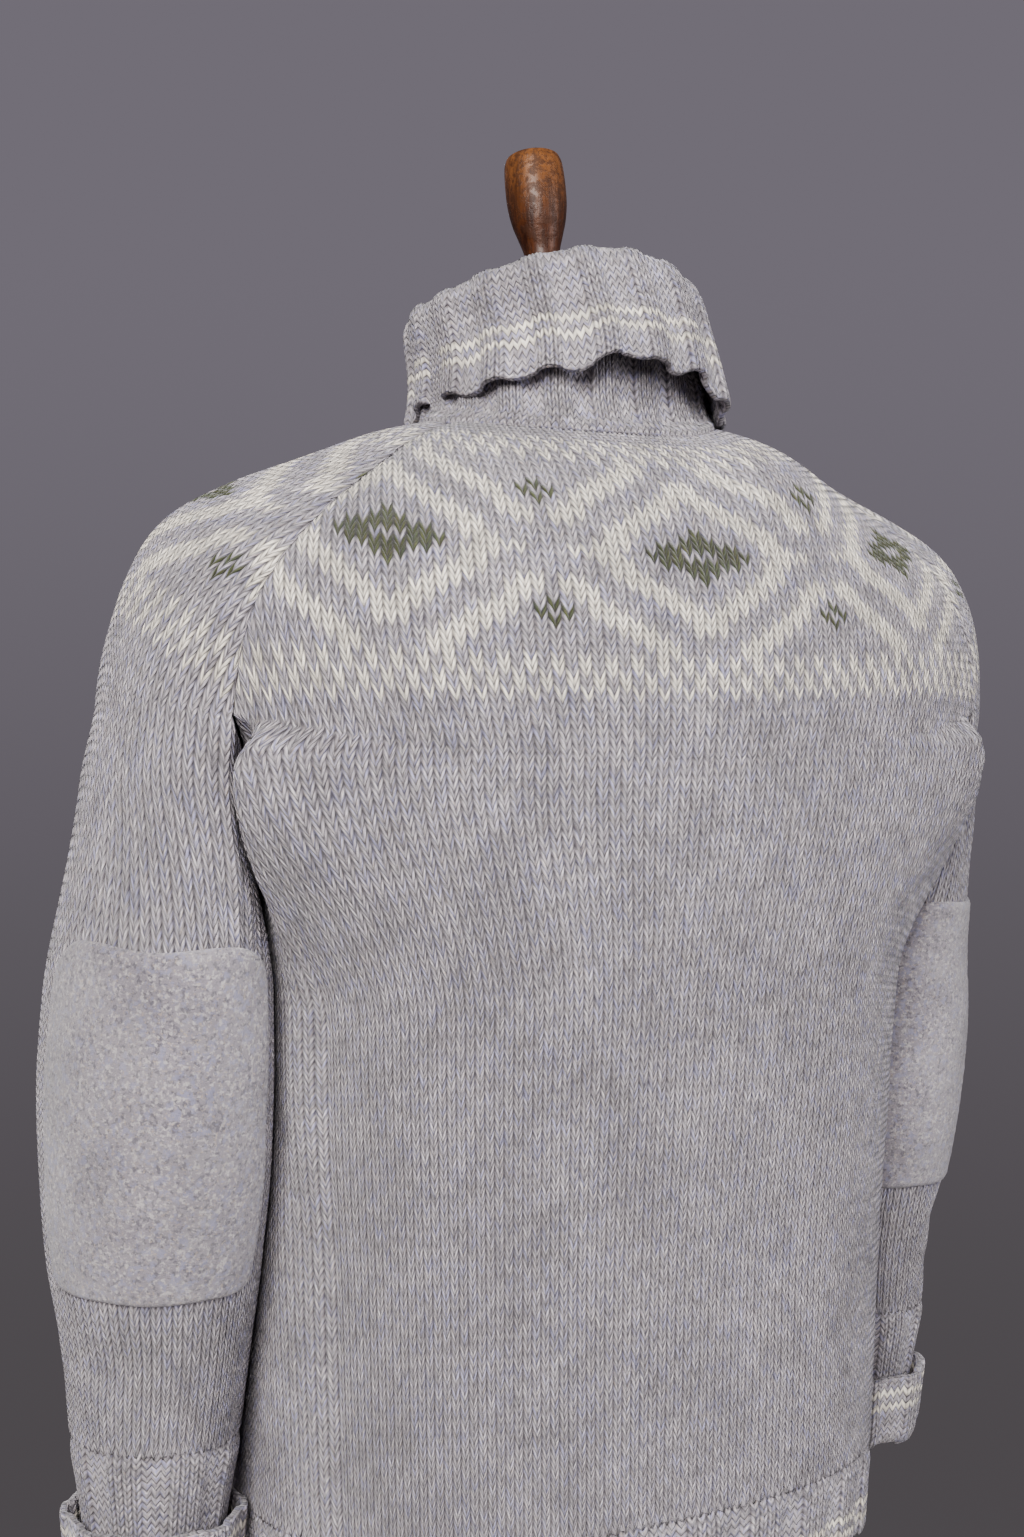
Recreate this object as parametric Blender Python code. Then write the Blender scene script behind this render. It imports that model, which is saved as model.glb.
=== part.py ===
# Fair isle turtleneck sweater on a limbless dress form.
# Metres, +Z up, the back of the sweater faces +Y, the wearer's left side is +X.
# The origin is the centre of the stand's foot, on the floor.

import bpy
from collections import namedtuple
from math import cos, pi, radians, sin

import numpy as np

# Driving sizes
CM = 0.01
UNDERARM_Z = 1.28          # height of the yoke's lower border, at the centre of the back
WALL = 0.0035              # thickness of the knitted cloth
RIB_WALL = 0.0045          # thickness of the ribbed collar, cuffs and hem
SEAM_GAP = 0.0003          # half of the gap between two pieces at a seam
RING_BOW = 1.4             # how late a ring's height turns from its side to its back or front
BODY_POWER = 2.5           # how square the trunk's cross-section is, 2 being an ellipse
ARM_PLANE = 0.2010         # distance from the middle to where sleeve and trunk meet
ARM_PLANE_FLARE = 0.025    # how much further out they meet at the ends of the armhole
WING = 0.015               # how far the back bulges out below the end of the raglan seam
PRESS_GAP = 0.0046         # how far sleeve and trunk each keep from the plane where they meet
PRESS_SOFT = 0.0030        # how softly they press against it
RIGHT_FORWARD = 0.024      # how much further forward the right sleeve hangs than the left
LEFT_LEAN = 0.013          # how far the left sleeve stands out below the armhole
RIGHT_LEAN = -0.006        # the right one is drawn in a little instead
FORM_GAP = 0.0005          # clearance between cloth and form where the cloth rests

HEM_RIB_TOP = -0.447       # heights below are measured from UNDERARM_Z
HEM_BOTTOM = -0.497
SLEEVE_END = -0.395
CUFF_BOTTOM = -0.482
CUFF_TOP = -0.437
PATCH_TOP = -0.128
PATCH_BOTTOM = -0.308
PATCH_WALL = 0.0024
PATCH_LIFT = 0.0004        # clearance between a patch and its sleeve

SIDES = ("left", "right")

# Columns of the meshes: half of a panel, a sleeve's cap, and half of the underarm
BACK_COLUMNS = 8
SLEEVE_COLUMNS = 10
UNDERARM_COLUMNS = 3
PATCH_COLUMNS = 6
SLEEVE_TURN = radians(105.0)   # where the tube of a sleeve starts, from its outer side to the back

# Rows of the meshes
YOKE_LEVELS = [0.0, 0.12, 0.24, 0.36, 0.48, 0.60, 0.70, 0.80, 0.90, 1.0]
TOP_CENTRE = -0.030        # height of the yoke's last ring at the centre of the back
TRUNK_START = -0.035       # where the trunk starts to leave the yoke's shape
TRUNK_BLEND = 0.130
SLEEVE_BLEND = 0.120
TRUNK_HEIGHTS = [-0.050, -0.075, -0.105, -0.140, -0.180, -0.230, -0.290, -0.350, -0.400, HEM_RIB_TOP]
HEM_HEIGHTS = [HEM_RIB_TOP, -0.472, HEM_BOTTOM]
SLEEVE_HEIGHTS = [-0.050, -0.075, -0.100, PATCH_TOP, -0.165, -0.200, -0.240, -0.275, PATCH_BOTTOM,
                  -0.350, SLEEVE_END]
# Height of each ring of a cuff, and how far it stands out from the wrist
CUFF = [(SLEEVE_END, 0.0), (CUFF_TOP, 0.0), (-0.476, 0.0), (CUFF_BOTTOM, 0.0045), (-0.476, 0.0090),
        (CUFF_TOP, 0.0105)]

# The dress form and its stand
FORM_LEVELS = [0.12, 0.24, 0.36, 0.48, 0.60, 0.80, 1.0]
FORM_SLACK = 0.010         # how far the form stays back below the shoulders
FORM_SHOULDER = 0.150      # half-width from which the form's shoulders round off
FORM_ROUND = 0.040
NECK_TILT = radians(11.3)
FOOT_RADIUS = 0.190
FOOT_HEIGHT = 0.022
POLE_RADIUS = 0.015

# One row for each ring of the yoke, from the neck seam to the armhole, in centimetres and degrees
YokeRing = namedtuple("YokeRing", "level half_width centre back front back_z side_z front_z "
                                  "back_seam front_seam")
YOKE = [
    YokeRing(0.00, 7.8, 0.0, 6.5, 7.2, 15.2, 15.9, 10.8, 74.0, 62.0),
    YokeRing(0.15, 12.2, 0.7, 8.9, 9.9, 13.6, 14.8, 9.2, 67.0, 58.0),
    YokeRing(0.30, 16.8, 1.4, 10.6, 12.0, 11.2, 13.1, 7.0, 61.5, 56.0),
    YokeRing(0.45, 21.3, 2.0, 11.5, 13.6, 8.3, 11.4, 4.6, 58.5, 54.0),
    YokeRing(0.60, 24.9, 2.6, 11.8, 14.4, 5.3, 9.4, 2.0, 57.0, 53.0),
    YokeRing(0.75, 26.8, 3.0, 11.7, 15.1, 2.3, 6.7, -0.6, 56.5, 52.5),
    YokeRing(0.88, 27.5, 3.2, 11.6, 15.5, -0.4, 3.7, -2.9, 57.0, 52.5),
    YokeRing(1.00, 27.7, 3.2, 11.5, 15.5, -3.0, 0.7, -5.0, 57.0, 52.0),
]

# The underarm: where the armhole's lowest point lies, in centimetres
UNDERARM = (20.1, 0.6, -5.6)

# One row for each ring of the trunk, in centimetres
TrunkRing = namedtuple("TrunkRing", "height half_width back front")
TRUNK = [
    TrunkRing(-5.0, 20.9, 14.6, 13.2),
    TrunkRing(-12.0, 21.0, 14.2, 13.4),
    TrunkRing(-20.0, 20.8, 13.8, 13.3),
    TrunkRing(-30.0, 20.2, 13.0, 13.0),
    TrunkRing(-40.0, 19.8, 12.7, 12.8),
    TrunkRing(-44.7, 19.6, 12.6, 12.7),
    TrunkRing(-49.7, 19.3, 12.4, 12.5),
]

# One row for each ring of a sleeve, in centimetres
SleeveRing = namedtuple("SleeveRing", "height centre_x centre_y across along")
SLEEVE = [
    SleeveRing(-5.0, 24.2, 1.2, 5.4, 8.0),
    SleeveRing(-10.0, 24.4, 0.7, 5.6, 8.0),
    SleeveRing(-15.0, 24.7, 0.5, 5.8, 8.0),
    SleeveRing(-20.0, 24.9, 0.4, 6.0, 8.0),
    SleeveRing(-25.0, 24.9, 0.2, 5.9, 7.6),
    SleeveRing(-30.0, 24.9, -0.1, 5.5, 6.8),
    SleeveRing(-35.0, 24.7, -0.5, 4.8, 5.8),
    SleeveRing(-39.5, 24.7, -0.8, 4.4, 5.0),
    SleeveRing(-44.0, 24.7, -1.0, 3.8, 4.3),
    SleeveRing(-48.2, 24.7, -1.2, 3.6, 4.1),
]

# One row for each ring of the folded collar, from the neck seam up and over, in centimetres
CollarRing = namedtuple("CollarRing", "centre half_width back front back_z side_z front_z")
COLLAR = [
    CollarRing(0.0, 7.75, 6.45, 7.15, 15.27, 15.97, 10.87),
    CollarRing(-0.3, 7.70, 6.70, 7.0, 18.3, 17.8, 13.2),
    CollarRing(-0.7, 7.70, 7.00, 7.0, 21.4, 20.2, 17.0),
    CollarRing(-0.9, 7.85, 7.30, 6.9, 24.3, 22.0, 20.1),
    CollarRing(-1.0, 8.35, 7.85, 7.2, 25.0, 22.5, 20.7),
    CollarRing(-1.0, 8.85, 8.35, 7.6, 24.2, 21.9, 19.9),
    CollarRing(-0.9, 9.15, 8.60, 7.8, 22.5, 20.3, 18.2),
    CollarRing(-0.7, 9.50, 8.90, 8.0, 20.6, 18.4, 16.4),
    CollarRing(-0.5, 9.90, 9.20, 8.2, 18.7, 16.6, 14.8),
]

# The form's neck, from its flat top down, and its trunk, down to its flat underside
FORM_NECK = [
    CollarRing(-0.6, 6.0, 5.0, 5.2, 21.40, 20.4, 19.36),
    CollarRing(-0.4, 6.1, 5.1, 5.4, 18.0, 18.0, 16.0),
    CollarRing(0.0, 6.7, 5.5, 6.0, 14.9, 15.5, 10.8),
]
FORM_TRUNK = [
    TrunkRing(-9.0, 18.7, 13.2, 11.5),
    TrunkRing(-18.0, 18.4, 12.7, 11.9),
    TrunkRing(-28.0, 17.7, 12.0, 11.8),
    TrunkRing(-40.0, 17.4, 11.4, 11.5),
    TrunkRing(-49.0, 17.5, 11.3, 11.4),
    TrunkRing(-53.4, 17.0, 10.9, 11.0),
    TrunkRing(-54.4, 16.2, 10.2, 10.3),
]
# Turned profiles: radius and height above the neck's flat top
CAP_PROFILE = [(0.046, 0.0003), (0.050, 0.0020), (0.050, 0.0080), (0.044, 0.0115), (0.026, 0.0130)]
FINIAL_PROFILE = [(0.0220, 0.0133), (0.0235, 0.0160), (0.0230, 0.0220), (0.0150, 0.0270),
                  (0.0115, 0.0380), (0.0105, 0.0520), (0.0118, 0.0650), (0.0145, 0.0820),
                  (0.0170, 0.0990), (0.0180, 0.1090), (0.0179, 0.1170), (0.0165, 0.1208),
                  (0.0110, 0.1230), (0.0030, 0.1236)]


def clear_scene():
    for item in list(bpy.data.objects):
        bpy.data.objects.remove(item, do_unlink=True)


def material(name, colour, roughness, metallic=0.0):
    made = bpy.data.materials.new(name)
    made.use_nodes = True
    shader = made.node_tree.nodes["Principled BSDF"]
    shader.inputs["Base Color"].default_value = (*colour, 1.0)
    shader.inputs["Roughness"].default_value = roughness
    shader.inputs["Metallic"].default_value = metallic
    return made


# Smooth reading of a table: a curve through its rows, by the first column

def read_table(table, key):
    way = 1.0 if table[-1][0] > table[0][0] else -1.0
    keys = [way * row[0] for row in table]
    key = way * key
    values = np.array([row[1:] for row in table], float)
    ahead = int(np.clip(np.searchsorted(keys, key), 1, len(keys) - 1))
    low = ahead - 1
    span = keys[ahead] - keys[low]
    part = (key - keys[low]) / span

    def slope(index):
        before = max(index - 1, 0)
        after = min(index + 1, len(keys) - 1)
        return (values[after] - values[before]) / (keys[after] - keys[before])

    square = part * part
    cube = square * part
    read = ((2 * cube - 3 * square + 1) * values[low] + (cube - 2 * square + part) * span * slope(low)
            + (3 * square - 2 * cube) * values[ahead] + (cube - square) * span * slope(ahead))
    return type(table[0])(way * key, *read)


def smooth_step(value):
    value = min(max(value, 0.0), 1.0)
    return value * value * (3.0 - 2.0 * value)


def read_line(points, places):
    # Points at the given shares of a line's length
    steps = np.linalg.norm(np.diff(points, axis=0), axis=1)
    length = np.concatenate(([0.0], np.cumsum(steps))) / steps.sum()
    return np.stack([np.interp(places, length, points[:, axis]) for axis in range(3)], axis=1)


# The garment's surfaces. Angles run from the centre of the back, through the left side, to the front

def ring_point(ring, angle, bow=RING_BOW):
    # A point on a ring of the collar or the neck, whose height bows between side and back or front
    turn = radians(angle)
    reach = ring.back if cos(turn) > 0 else ring.front
    end_z = ring.back_z if cos(turn) > 0 else ring.front_z
    height = ring.side_z + (end_z - ring.side_z) * abs(cos(turn)) ** bow
    return np.array((ring.half_width * sin(turn), ring.centre + reach * cos(turn), height)) * CM


def yoke_point(level, angle):
    return ring_point(read_table(YOKE, level), angle)


def yoke_columns(level):
    # The angles of one yoke ring's columns on the left half: back panel, sleeve and front panel
    ring = read_table(YOKE, level)
    back = np.linspace(0.0, ring.back_seam, BACK_COLUMNS + 1)
    sleeve = np.linspace(ring.back_seam, 180.0 - ring.front_seam, SLEEVE_COLUMNS + 1)
    front = np.linspace(180.0 - ring.front_seam, 180.0, BACK_COLUMNS + 1)
    return back, sleeve, front


def underarm_curve(start, count):
    # From the end of a raglan seam down to the underarm
    low = np.array(UNDERARM) * CM
    bend = np.array((low[0] + 0.002, start[1] * 0.45, low[2] + 0.004))
    steps = np.linspace(0.0, 1.0, count)[:, None]
    return (1 - steps) ** 2 * start + 2 * steps * (1 - steps) * bend + steps ** 2 * low


def arm_plane(y, height):
    # Where the sleeve and the trunk press on each other, further out near the armhole
    near_armhole = smooth_step((height + 0.20) / 0.16)
    reach = (y - 0.006) / (0.095 if y > 0.006 else 0.073)
    square = min(reach * reach, 1.2)
    behind = WING * wing_share(height) * square if y > 0.006 else 0.0
    return ARM_PLANE + ARM_PLANE_FLARE * near_armhole * square + behind


def wing_share(height):
    # The bulge grows below the end of the seam and is gone at the waist
    return smooth_step((-0.012 - height) / 0.045) * smooth_step((height + 0.175) / 0.100)


def kept_inside(points, side):
    # Softly holds points on their own side of the arm plane: side is -1 for trunk, +1 for sleeve
    held = points.copy()
    for point in held:
        over = side * (arm_plane(point[1], point[2]) + side * PRESS_GAP - point[0])
        if over > 0:
            point[0] += side * (over - PRESS_SOFT * over / (over + PRESS_SOFT))
    return held


def trunk_top(face):
    # The trunk's upper edge on the left half, from the centre to the underarm
    angles = yoke_columns(1.0)[0] if face > 0 else yoke_columns(1.0)[2][::-1]
    edge = [yoke_point(1.0, angle) for angle in angles]
    return np.array(edge + list(underarm_curve(edge[-1], UNDERARM_COLUMNS + 1)[1:]))


def trunk_ring(face, height, places):
    # A level ring of the trunk's left half, read at places from 0 in the centre to 1 at the side
    ring = read_table(TRUNK, height / CM)
    turns = np.linspace(0.0, pi / 2, 201)
    reach = ring.back if face > 0 else ring.front
    across = ring.half_width * np.sin(turns) ** (2 / BODY_POWER)
    along = face * reach * np.abs(np.cos(turns)) ** (2 / BODY_POWER) + 0.3
    fine = np.stack([across * CM, along * CM, np.full_like(across, height)], axis=1)
    return read_line(fine, places)


def trunk_rows(face, heights):
    # Rows of points down the left half of the front or the back, below its upper edge
    top = trunk_top(face)
    steps = np.linalg.norm(np.diff(top, axis=0), axis=1)
    places = np.concatenate(([0.0], np.cumsum(steps))) / steps.sum()
    rows = []
    for height in heights:
        share = smooth_step((TRUNK_START - height) / TRUNK_BLEND)
        lowered = top.copy()
        lowered[:, 2] += height - TOP_CENTRE
        row = lowered * (1 - share) + trunk_ring(face, height, places) * share
        if face > 0:
            away = (places - places[BACK_COLUMNS]) / 0.13
            row[:, 0] += WING * wing_share(height) * np.exp(-away * away)
        rows.append(kept_inside(row, -1))
    return rows


def sleeve_top():
    # The closed upper ring of the left sleeve's tube, clockwise from the back end of its seam
    outer = [yoke_point(1.0, angle) for angle in yoke_columns(1.0)[1]]
    front = underarm_curve(outer[-1], UNDERARM_COLUMNS + 1)[1:]
    back = underarm_curve(outer[0], UNDERARM_COLUMNS + 1)[1:-1][::-1]
    return np.array(outer + list(front) + list(back))


def sleeve_centre(height, forward):
    ring = read_table(SLEEVE, min(height / CM, SLEEVE[0].height))
    ahead = forward * smooth_step((-0.02 - height) / 0.16)
    tucked = 0.5 * forward * smooth_step(-height / 0.05) * (1.0 - 0.7 * smooth_step((-0.30 - height) / 0.12))
    return np.array((ring.centre_x * CM - tucked, ring.centre_y * CM - ahead, height))


def sleeve_tube(height, turns, forward):
    ring = read_table(SLEEVE, min(height / CM, SLEEVE[0].height))
    tube = np.stack([ring.across * CM * np.cos(turns), ring.along * CM * np.sin(turns),
                     np.zeros_like(turns)], axis=1)
    return tube + sleeve_centre(height, forward)


def sleeve_rows(heights, forward):
    top = sleeve_top()
    turns = np.linspace(SLEEVE_TURN, SLEEVE_TURN - 2 * pi, len(top) + 1)[:-1]
    lean = RIGHT_LEAN if forward else LEFT_LEAN
    outer = np.array([smooth_step((point[0] - 0.215) / 0.05) for point in top])
    rows = []
    for height in heights:
        share = smooth_step((TRUNK_START - height) / SLEEVE_BLEND)
        lowered = top.copy()
        lowered[:, 2] += height - TOP_CENTRE
        lowered[:, 0] += lean * outer * smooth_step((TOP_CENTRE - height) / 0.04)
        tube = sleeve_tube(height, turns, forward)
        rows.append(kept_inside(lowered * (1 - share) + tube * share, 1))
    return rows


# Meshes

def grid_quads(rows, columns, closed=False, start=0):
    quads = []
    for row in range(rows - 1):
        for column in range(columns if closed else columns - 1):
            after = (column + 1) % columns
            low = start + row * columns
            quads.append((low + column, low + after, low + columns + after, low + columns + column))
    return quads


def flipped(quads):
    return [tuple(reversed(quad)) for quad in quads]


def mirror_sheet(sheet):
    points, quads = sheet
    return points * np.array((-1.0, 1.0, 1.0)), flipped(quads)


def surface_normals(points, quads):
    # The outward direction at each point, from the faces round it
    normals = np.zeros_like(points)
    for quad in quads:
        corners = points[list(quad)]
        facing = np.cross(corners[2] - corners[0], corners[3] - corners[1])
        for corner in quad:
            normals[corner] += facing
    return normals / np.linalg.norm(normals, axis=1)[:, None]


def spot(point):
    return tuple(np.round(point, 6))


def shared_normals(sheets):
    # Where sheets meet edge to edge, they share one direction
    own = [surface_normals(points, quads) for points, quads in sheets]
    total = {}
    for (points, quads), normals in zip(sheets, own):
        for point, normal in zip(points, normals):
            total[spot(point)] = total.get(spot(point), 0.0) + normal
    joined = []
    for points, quads in sheets:
        summed = np.array([total[spot(point)] for point in points])
        joined.append(summed / np.linalg.norm(summed, axis=1)[:, None])
    return joined


def open_edges(quads):
    edges = set()
    for quad in quads:
        edges.update(zip(quad, quad[1:] + quad[:1]))
    return [(start, end) for start, end in edges if (end, start) not in edges]


def pulled_in(points, quads, amount):
    # Edge points move a little into their own piece, which opens the gap at each seam
    near = {}
    for start, end in open_edges(quads):
        near.setdefault(start, []).append(end)
        near.setdefault(end, []).append(start)
    middles = {index: [] for index in near}
    for quad in quads:
        for corner in quad:
            if corner in middles:
                middles[corner].append(points[list(quad)].mean(axis=0))
    moved = points.copy()
    for index, others in near.items():
        along = points[others[1]] - points[others[0]]
        along /= np.linalg.norm(along)
        inward = np.mean(middles[index], axis=0) - points[index]
        inward -= along * inward.dot(along)
        moved[index] = points[index] + amount * inward / np.linalg.norm(inward)
    return moved


def make_object(name, points, faces, finish):
    mesh = bpy.data.meshes.new(name)
    placed = points + np.array((0.0, 0.0, UNDERARM_Z))
    mesh.from_pydata([tuple(point) for point in placed], [], [tuple(face) for face in faces])
    mesh.update()
    mesh.materials.append(finish)
    mesh.shade_smooth()
    mesh.set_sharp_from_angle(angle=radians(40.0))
    made = bpy.data.objects.new(name, mesh)
    bpy.context.scene.collection.objects.link(made)


def make_wall(name, sheet, normals, outward, inward, finish, gap=SEAM_GAP):
    # A closed wall round a sheet of points, from inward below it to outward above it
    points, quads = sheet
    outer = pulled_in(points + normals * outward, quads, gap)
    inner = pulled_in(points - normals * inward, quads, gap)
    count = len(points)
    faces = []
    for first, second, third, fourth in quads:
        faces += [(first, second, third), (first, third, fourth)]
    faces += [tuple(corner + count for corner in reversed(face)) for face in list(faces)]
    for start, end in open_edges(quads):
        faces += [(end, start, start + count), (end, start + count, end + count)]
    make_object(name, np.concatenate([outer, inner]), faces, finish)


def lathe(name, profile, centre, tilt, finish, sides=32):
    # A turned piece from a profile of radius and height, from its foot to its top
    points = []
    for radius, height in profile:
        for side in range(sides):
            turn = 2 * pi * side / sides
            points.append((radius * cos(turn), radius * sin(turn), height))
    points = np.array(points)
    turned = points.copy()
    turned[:, 1] = points[:, 1] * cos(tilt) - points[:, 2] * sin(tilt)
    turned[:, 2] = points[:, 1] * sin(tilt) + points[:, 2] * cos(tilt)
    quads = grid_quads(len(profile), sides, closed=True)
    top = tuple(range((len(profile) - 1) * sides, len(profile) * sides))
    foot = tuple(reversed(range(sides)))
    make_object(name, turned + np.array(centre), quads + [top, foot], finish)


# The sheets of the cloth

def whole_row(left):
    # The right half mirrors the left one
    left = np.asarray(left)
    return np.concatenate([left[:0:-1] * np.array((-1.0, 1.0, 1.0)), left])


def panel_sheet(face):
    # Front or back: the yoke between the raglan seams, then the trunk down to the ribbing
    rows = []
    for level in YOKE_LEVELS[:-1]:
        angles = yoke_columns(level)[0] if face > 0 else yoke_columns(level)[2][::-1]
        rows.append(whole_row([yoke_point(level, angle) for angle in angles]))
    trunk = [whole_row(row) for row in [trunk_top(face)] + trunk_rows(face, TRUNK_HEIGHTS)]
    yoke_width = len(rows[0])
    trunk_width = len(trunk[0])
    offset = len(rows) * yoke_width
    quads = grid_quads(len(rows), yoke_width)
    for column in range(yoke_width - 1):
        upper = offset - yoke_width + column
        lower = offset + UNDERARM_COLUMNS + column
        quads.append((upper, upper + 1, lower + 1, lower))
    quads += grid_quads(len(trunk), trunk_width, start=offset)
    return np.concatenate(rows + trunk), quads if face > 0 else flipped(quads)


def sleeve_sheet(forward):
    # A left sleeve: the raglan cap from the neck to the armhole, then the tube to the cuff
    cap = []
    for level in YOKE_LEVELS[:-1]:
        cap.append(np.array([yoke_point(level, angle) for angle in yoke_columns(level)[1]]))
    tube = [sleeve_top()] + sleeve_rows(SLEEVE_HEIGHTS, forward)
    cap_width = SLEEVE_COLUMNS + 1
    offset = len(cap) * cap_width
    quads = grid_quads(len(cap), cap_width)
    for column in range(SLEEVE_COLUMNS):
        upper = offset - cap_width + column
        lower = offset + column
        quads.append((upper, upper + 1, lower + 1, lower))
    quads += grid_quads(len(tube), len(tube[0]), closed=True, start=offset)
    return np.concatenate(cap + tube), quads


def hem_sheet():
    rows = []
    for height in HEM_HEIGHTS:
        back = whole_row(trunk_rows(1, [height])[0])
        front = whole_row(trunk_rows(-1, [height])[0])[::-1]
        rows.append(np.concatenate([back, front[1:-1]]))
    return np.concatenate(rows), grid_quads(len(rows), len(rows[0]), closed=True)


def all_round_columns():
    # Every angle where a column of the yoke reaches the neck, all the way round
    back, sleeve, front = yoke_columns(0.0)
    left = list(back) + list(sleeve[1:]) + list(front[1:])
    return left + [-angle for angle in left[-2:0:-1]]


def collar_sheet():
    rows = [np.array([ring_point(ring, angle) for angle in all_round_columns()]) for ring in COLLAR]
    quads = grid_quads(len(rows), len(rows[0]), closed=True)
    return np.concatenate(rows), flipped(quads)


def cuff_sheet(forward):
    # A left cuff: down over the wrist, out round the fold and back up
    count = SLEEVE_COLUMNS + 2 * UNDERARM_COLUMNS
    turns = np.linspace(SLEEVE_TURN, SLEEVE_TURN - 2 * pi, count + 1)[:-1]
    rows = []
    for height, outward in CUFF:
        tube = sleeve_tube(height, turns, forward)
        away = tube - sleeve_centre(height, forward)
        rows.append(tube + away / np.linalg.norm(away, axis=1)[:, None] * (outward - RIB_WALL / 2))
    return np.concatenate(rows), grid_quads(len(rows), count, closed=True)


def patch_sheet(sleeve, normals, mirrored):
    # The elbow patch takes its points from the sleeve
    points, quads = sleeve
    tube_width = SLEEVE_COLUMNS + 2 * UNDERARM_COLUMNS
    offset = (len(YOKE_LEVELS) - 1) * (SLEEVE_COLUMNS + 1) + tube_width
    first = SLEEVE_HEIGHTS.index(PATCH_TOP)
    last = SLEEVE_HEIGHTS.index(PATCH_BOTTOM)
    picked = []
    for row in range(first, last + 1):
        for column in range(-1, PATCH_COLUMNS):
            picked.append(offset + row * tube_width + column % tube_width)
    width = PATCH_COLUMNS + 1
    patch_quads = grid_quads(last - first + 1, width)
    return (points[picked], flipped(patch_quads) if mirrored else patch_quads), normals[picked]


def make_cloth():
    wool = material("heather grey wool", (0.44, 0.44, 0.48), 0.92)
    ribbing = material("ribbed grey wool", (0.42, 0.42, 0.46), 0.92)
    felt = material("felted grey wool", (0.48, 0.48, 0.51), 0.95)
    back = panel_sheet(1)
    front = panel_sheet(-1)
    left = sleeve_sheet(0.0)
    right = mirror_sheet(sleeve_sheet(RIGHT_FORWARD))
    panels = shared_normals([back, front])
    with_sleeves = shared_normals([back, front, left, right])
    cap_spots = {spot(yoke_point(level, angle) * np.array((side, 1.0, 1.0)))
                 for level in YOKE_LEVELS for angle in yoke_columns(level)[1][[0, -1]] for side in (1, -1)}
    sleeves = [surface_normals(*left), surface_normals(*right)]
    for sheet, own, joined in zip((back, front, left, right), panels + sleeves, with_sleeves):
        for index, point in enumerate(sheet[0]):
            if spot(point) in cap_spots:
                own[index] = joined[index]
    make_wall("back", back, panels[0], 0.0, WALL, wool)
    make_wall("front", front, panels[1], 0.0, WALL, wool)
    make_wall("sleeve_left", left, sleeves[0], 0.0, WALL, wool)
    make_wall("sleeve_right", right, sleeves[1], 0.0, WALL, wool)

    hem = hem_sheet()
    make_wall("hem_rib", hem, surface_normals(*hem), 0.0, RIB_WALL, ribbing)
    collar = collar_sheet()
    make_wall("collar", collar, surface_normals(*collar), RIB_WALL / 2, RIB_WALL / 2, ribbing, gap=0.0)
    cuffs = (cuff_sheet(0.0), mirror_sheet(cuff_sheet(RIGHT_FORWARD)))
    for side, cuff in zip(SIDES, cuffs):
        make_wall("cuff_" + side, cuff, surface_normals(*cuff), RIB_WALL / 2, RIB_WALL / 2, ribbing)
    for side, sleeve, normals in zip(SIDES, (left, right), sleeves):
        patch, patch_normals = patch_sheet(sleeve, normals, side == "right")
        make_wall("elbow_patch_" + side, patch, patch_normals, PATCH_LIFT + PATCH_WALL, -PATCH_LIFT, felt)


# The dress form and its stand

def form_ring(level):
    # The form's shoulders follow the yoke from inside, and stop short of the sleeves
    back, sleeve, front = yoke_columns(level)
    left = list(back) + list(sleeve[1:]) + list(front[1:])
    return [yoke_point(level, angle) for angle in left + [-angle for angle in left[-2:0:-1]]]


def form_trunk_ring(ring):
    back, sleeve, front = yoke_columns(1.0)
    left = list(back) + list(sleeve[1:]) + list(front[1:])
    points = []
    for angle in left + [-angle for angle in left[-2:0:-1]]:
        turn = radians(angle)
        across = ring.half_width * abs(sin(turn)) ** (2 / BODY_POWER)
        reach = ring.back if cos(turn) > 0 else -ring.front
        along = reach * abs(cos(turn)) ** (2 / BODY_POWER) + 0.3
        points.append(np.array((across if sin(turn) >= 0 else -across, along, ring.height)) * CM)
    return points


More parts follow.
